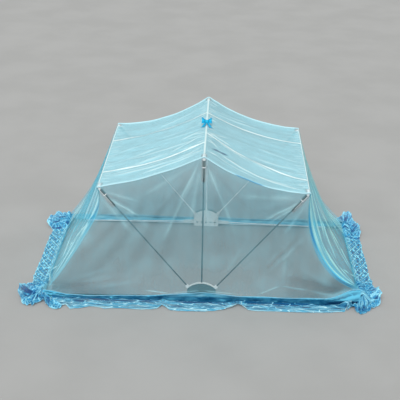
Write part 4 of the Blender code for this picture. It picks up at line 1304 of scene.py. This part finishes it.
def add_casing(name, body, finish):
    """The gathered tape sleeve round a raised bar."""
    low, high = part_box(name)
    centre = (low + high) / 2
    radius = (high.z - low.z) / 2
    y, turns = grid((low.y, high.y, 420), (0, TURN, 25))
    gathers = np.abs(np.sin(y * 520 + 2.0 * np.sin(y * 90) + 1.5 * np.sin(turns)))
    ends = np.minimum(between(y - low.y, -0.001, 0.003), between(high.y - y, -0.001, 0.003))
    pucker = radius * (0.93 + 0.10 * gathers + 0.05 * np.sin(y * 130 + 2 * turns)) * (0.75 + 0.25 * ends)
    spots = points(centre.x + pucker * np.cos(turns), y, centre.z + pucker * np.sin(turns))
    casing = cloth_piece(f"{name}_cloth", spots, (turns * radius, y), finish)
    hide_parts(name)
    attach(casing, body)


# Ribbon bow

BOW_HALF_WIDTH = 0.0185
BOW_KNOT_HEIGHT = 0.0105
BOW_LEAN = 35.0  # of the loops, back from upright, in degrees
BOW_RISE = 14.0  # of the loops, outwards from level
BOW_SWELL = {LEFT: 0.0088, RIGHT: 0.0076}  # how much wider a loop's ribbon spreads than at the knot
BOW_TAILS = {LEFT: (0.0135, -0.0215), RIGHT: (0.0150, -0.0245)}  # ends: out and forwards


def bow_loop(side, base):
    """A loop that leaves the knot in front and comes back behind, its face towards the front."""
    v, across = grid((0, 1, 60), (-1, 1, 17))
    swell = np.sin(math.pi * v)
    out = 0.001 + (BOW_HALF_WIDTH - 0.001) * swell**0.8
    deep = -0.0050 * np.sin(TURN * v) - 0.0016 * swell * (1 - across**2)
    half_width = 0.0034 + BOW_SWELL[side] * swell**0.7
    up = half_width * across + out * math.tan(math.radians(BOW_RISE))
    pleat = 0.0009 * np.sin(across * 8) * (1 - swell) + 0.0006 * np.sin(across * 5 + 2) * swell
    lean = math.radians(BOW_LEAN)
    x = base.x + side * (out + 0.0015 * across**2 * swell)
    y = base.y + (deep + pleat) * math.cos(lean) + up * math.sin(lean)
    z = base.z + BOW_KNOT_HEIGHT + up * math.cos(lean) - deep * math.sin(lean) * 0.4
    # Painted light on the satin: bands of painted highlight across it, and painted shade near the knot and
    # on the loop's back half.
    painted_light_and_tone = 0.5 * np.sin(across * 5 + 1) * swell - 0.8 * (1 - swell) ** 2 - 0.7 * between(v, 0.5, 0.7)
    return points(x, y, z), (half_width * across, 0.05 * v), painted_light_and_tone


def bow_tail(side, base):
    """A tail that leaves under the knot and lies forwards on the roof, with a notched end."""
    v, across = grid((0, 1, 40), (-1, 1, 17))
    out, forwards = BOW_TAILS[side]
    half_width = lerp(0.0030, 0.0072, v**0.7)
    run = math.hypot(out, forwards)
    notch = 0.0045 * np.abs(across) * between(v, 0.6, 1.0)
    x = lerp(0.0015, out, v) + (notch * out - half_width * across * forwards) / run
    y = lerp(-0.002, forwards, v**1.1) + (notch * forwards + half_width * across * out) / run
    roof = -0.42 * np.maximum(np.abs(x) - 0.0036, 0) - 0.0010
    curl = 0.0085 * (1 - v) ** 1.6 + 0.0022 * np.sin(math.pi * v)
    z = roof + 0.0016 + curl + 0.0008 * np.sin(across * 5) * v
    # Painted light on the satin: bands of painted highlight across it, and painted shade near the knot and
    # towards the end.
    painted_light_and_tone = 0.35 * np.sin(across * 4 + side) - 0.7 * between(0.4 - v, 0.0, 0.4) - 0.2 * v
    return points(base.x + side * x, base.y + y, base.z + z), (half_width * across, 0.02 * v), painted_light_and_tone


def bow_knot(base):
    """The ribbon's turn round the middle."""
    turns, across = grid((0, TURN, 29), (-1, 1, 15))
    swell = 1 - 0.25 * across**4 + 0.05 * np.sin(across * 9)
    y = base.y - 0.0005 + 0.0080 * swell * np.cos(turns)
    z = base.z + BOW_KNOT_HEIGHT + 0.0064 * swell * np.sin(turns)
    return points(base.x + 0.0052 * across, y, z), (0.005 * across, 0.005 * turns), 0.2


def add_bow(finishes):
    """Two loops and two tails of satin ribbon round a knot, on the ridge."""
    low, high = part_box("ribbon_bow")
    base = Vector(((low.x + high.x) / 2, (low.y + high.y) / 2, low.z))
    shapes = {}
    for side, label in SIDE_NAMES.items():
        shapes[f"bow_loop_{label}"] = bow_loop(side, base)
        shapes[f"bow_tail_{label}"] = bow_tail(side, base)
    shapes["bow_knot"] = bow_knot(base)
    pieces = []
    for name, (spots, layout, painted_light_and_tone) in shapes.items():
        pieces.append(cloth_piece(name, spots, layout, finishes["ribbon"], painted_light_and_tone=np.clip(painted_light_and_tone, -1, 1)))
    knot = pieces.pop()
    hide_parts("ribbon_bow")
    for piece in (knot, *pieces):
        thickness = piece.modifiers.new("thickness", "SOLIDIFY")
        thickness.thickness = RIBBON_THICKNESS
        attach(piece, "root")
        for label in SIDE_NAMES.values():
            if piece.name == f"bow_tail_{label}":
                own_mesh(piece)


# Hardware

# How the names of the model's solids end, and their finishes. The front rods and cross bars get steel, a
# dark copy as painted shade, and the back rods lit_pale_steel, a near white copy as painted light.
HARDWARE = {
    "outer_plate": "hub_outer_in_shade", "inner_plate": "hub_inner_lit", "rivet": "rivet", "front_rod": "steel",
    "back_rod": "lit_pale_steel", "cross_bar": "steel", "socket": "plastic",
}
for end in FACING_NAMES.values():
    HARDWARE |= {f"{part}_{end}_elbow": f"elbow_{part}" for part in ("ridge", *FRAME_PARTS)}


def dress_hardware(finishes):
    """Gives the model's own solids their materials."""
    for name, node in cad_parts.items():
        for ending, finish in HARDWARE.items():
            if name.endswith(ending):
                node.data.materials.clear()
                node.data.materials.append(finishes[finish])


# Stage


def add_camera():
    yaw, pitch, roll = (math.radians(a) for a in (CAMERA_YAW, CAMERA_PITCH, CAMERA_ROLL))
    forward = Vector((math.sin(yaw) * math.cos(pitch), math.cos(yaw) * math.cos(pitch), -math.sin(pitch)))
    level = Vector((math.cos(yaw), -math.sin(yaw), 0))
    upright = level.cross(forward)
    right = level * math.cos(roll) + upright * math.sin(roll)
    up = upright * math.cos(roll) - level * math.sin(roll)
    data = bpy.data.cameras.new("camera")
    data.sensor_width = CAMERA_SENSOR
    data.lens = CAMERA_LENS
    camera = bpy.data.objects.new("camera", data)
    matrix = camera.matrix_world.copy()
    for row in range(3):
        matrix[row] = (right[row], up[row], -forward[row], CAMERA_PLACE[row])
    camera.matrix_world = matrix
    bpy.context.scene.collection.objects.link(camera)
    bpy.context.scene.camera = camera


def add_stage():
    """A plain pale floor, soft light from above, and the camera of the photograph."""
    finish = Finish("floor", 0.85)
    clouds = finish.noise(finish.solid_place(), 3.0, 3.0)
    finish.set(Base_Color=finish.mix(clouds.ramp(0.3, 0.7), *FLOOR_COLOURS))
    mesh = bpy.data.meshes.new("floor")
    corners = [(FLOOR_HALF * x, FLOOR_HALF * y, 0) for x, y in ((-1, -1), (1, -1), (1, 1), (-1, 1))]
    mesh.from_pydata(corners, [], [(0, 1, 2, 3)])
    mesh.materials.append(finish.material)
    floor = bpy.data.objects.new("floor", mesh)
    bpy.context.scene.collection.objects.link(floor)
    floor.location.z = -FLOOR_DROP

    world = bpy.data.worlds.new("studio")
    bpy.context.scene.world = world
    world.use_nodes = True
    background = world.node_tree.nodes["Background"]
    background.inputs["Color"].default_value = WORLD_COLOUR
    background.inputs["Strength"].default_value = WORLD_STRENGTH

    lamp = bpy.data.lights.new("overhead", "SUN")
    lamp.energy = SUN_ENERGY
    lamp.angle = math.radians(SUN_SPREAD)
    overhead = bpy.data.objects.new("overhead", lamp)
    overhead.rotation_euler = (math.radians(SUN_LEAN[0]), math.radians(SUN_LEAN[1]), 0)
    bpy.context.scene.collection.objects.link(overhead)

    add_camera()
    bpy.context.scene.view_settings.view_transform = "Standard"
    bpy.context.scene.cycles.transparent_max_bounces = SEE_THROUGH_LAYERS


def main():
    finishes = make_finishes()
    add_stage()
    dress_hardware(finishes)
    add_casing("ridge_casing", "root", finishes["tape"])
    for side, label in SIDE_NAMES.items():
        add_casing(f"{label}_upper_casing", f"{label}_upper", finishes["tape"])
        add_roof(side, finishes)
        add_side_net(side, finishes)
        add_side_lace(side, finishes)
        for facing in (FRONT, BACK):
            add_wall(side, facing, finishes)
    add_bow(finishes)


main()
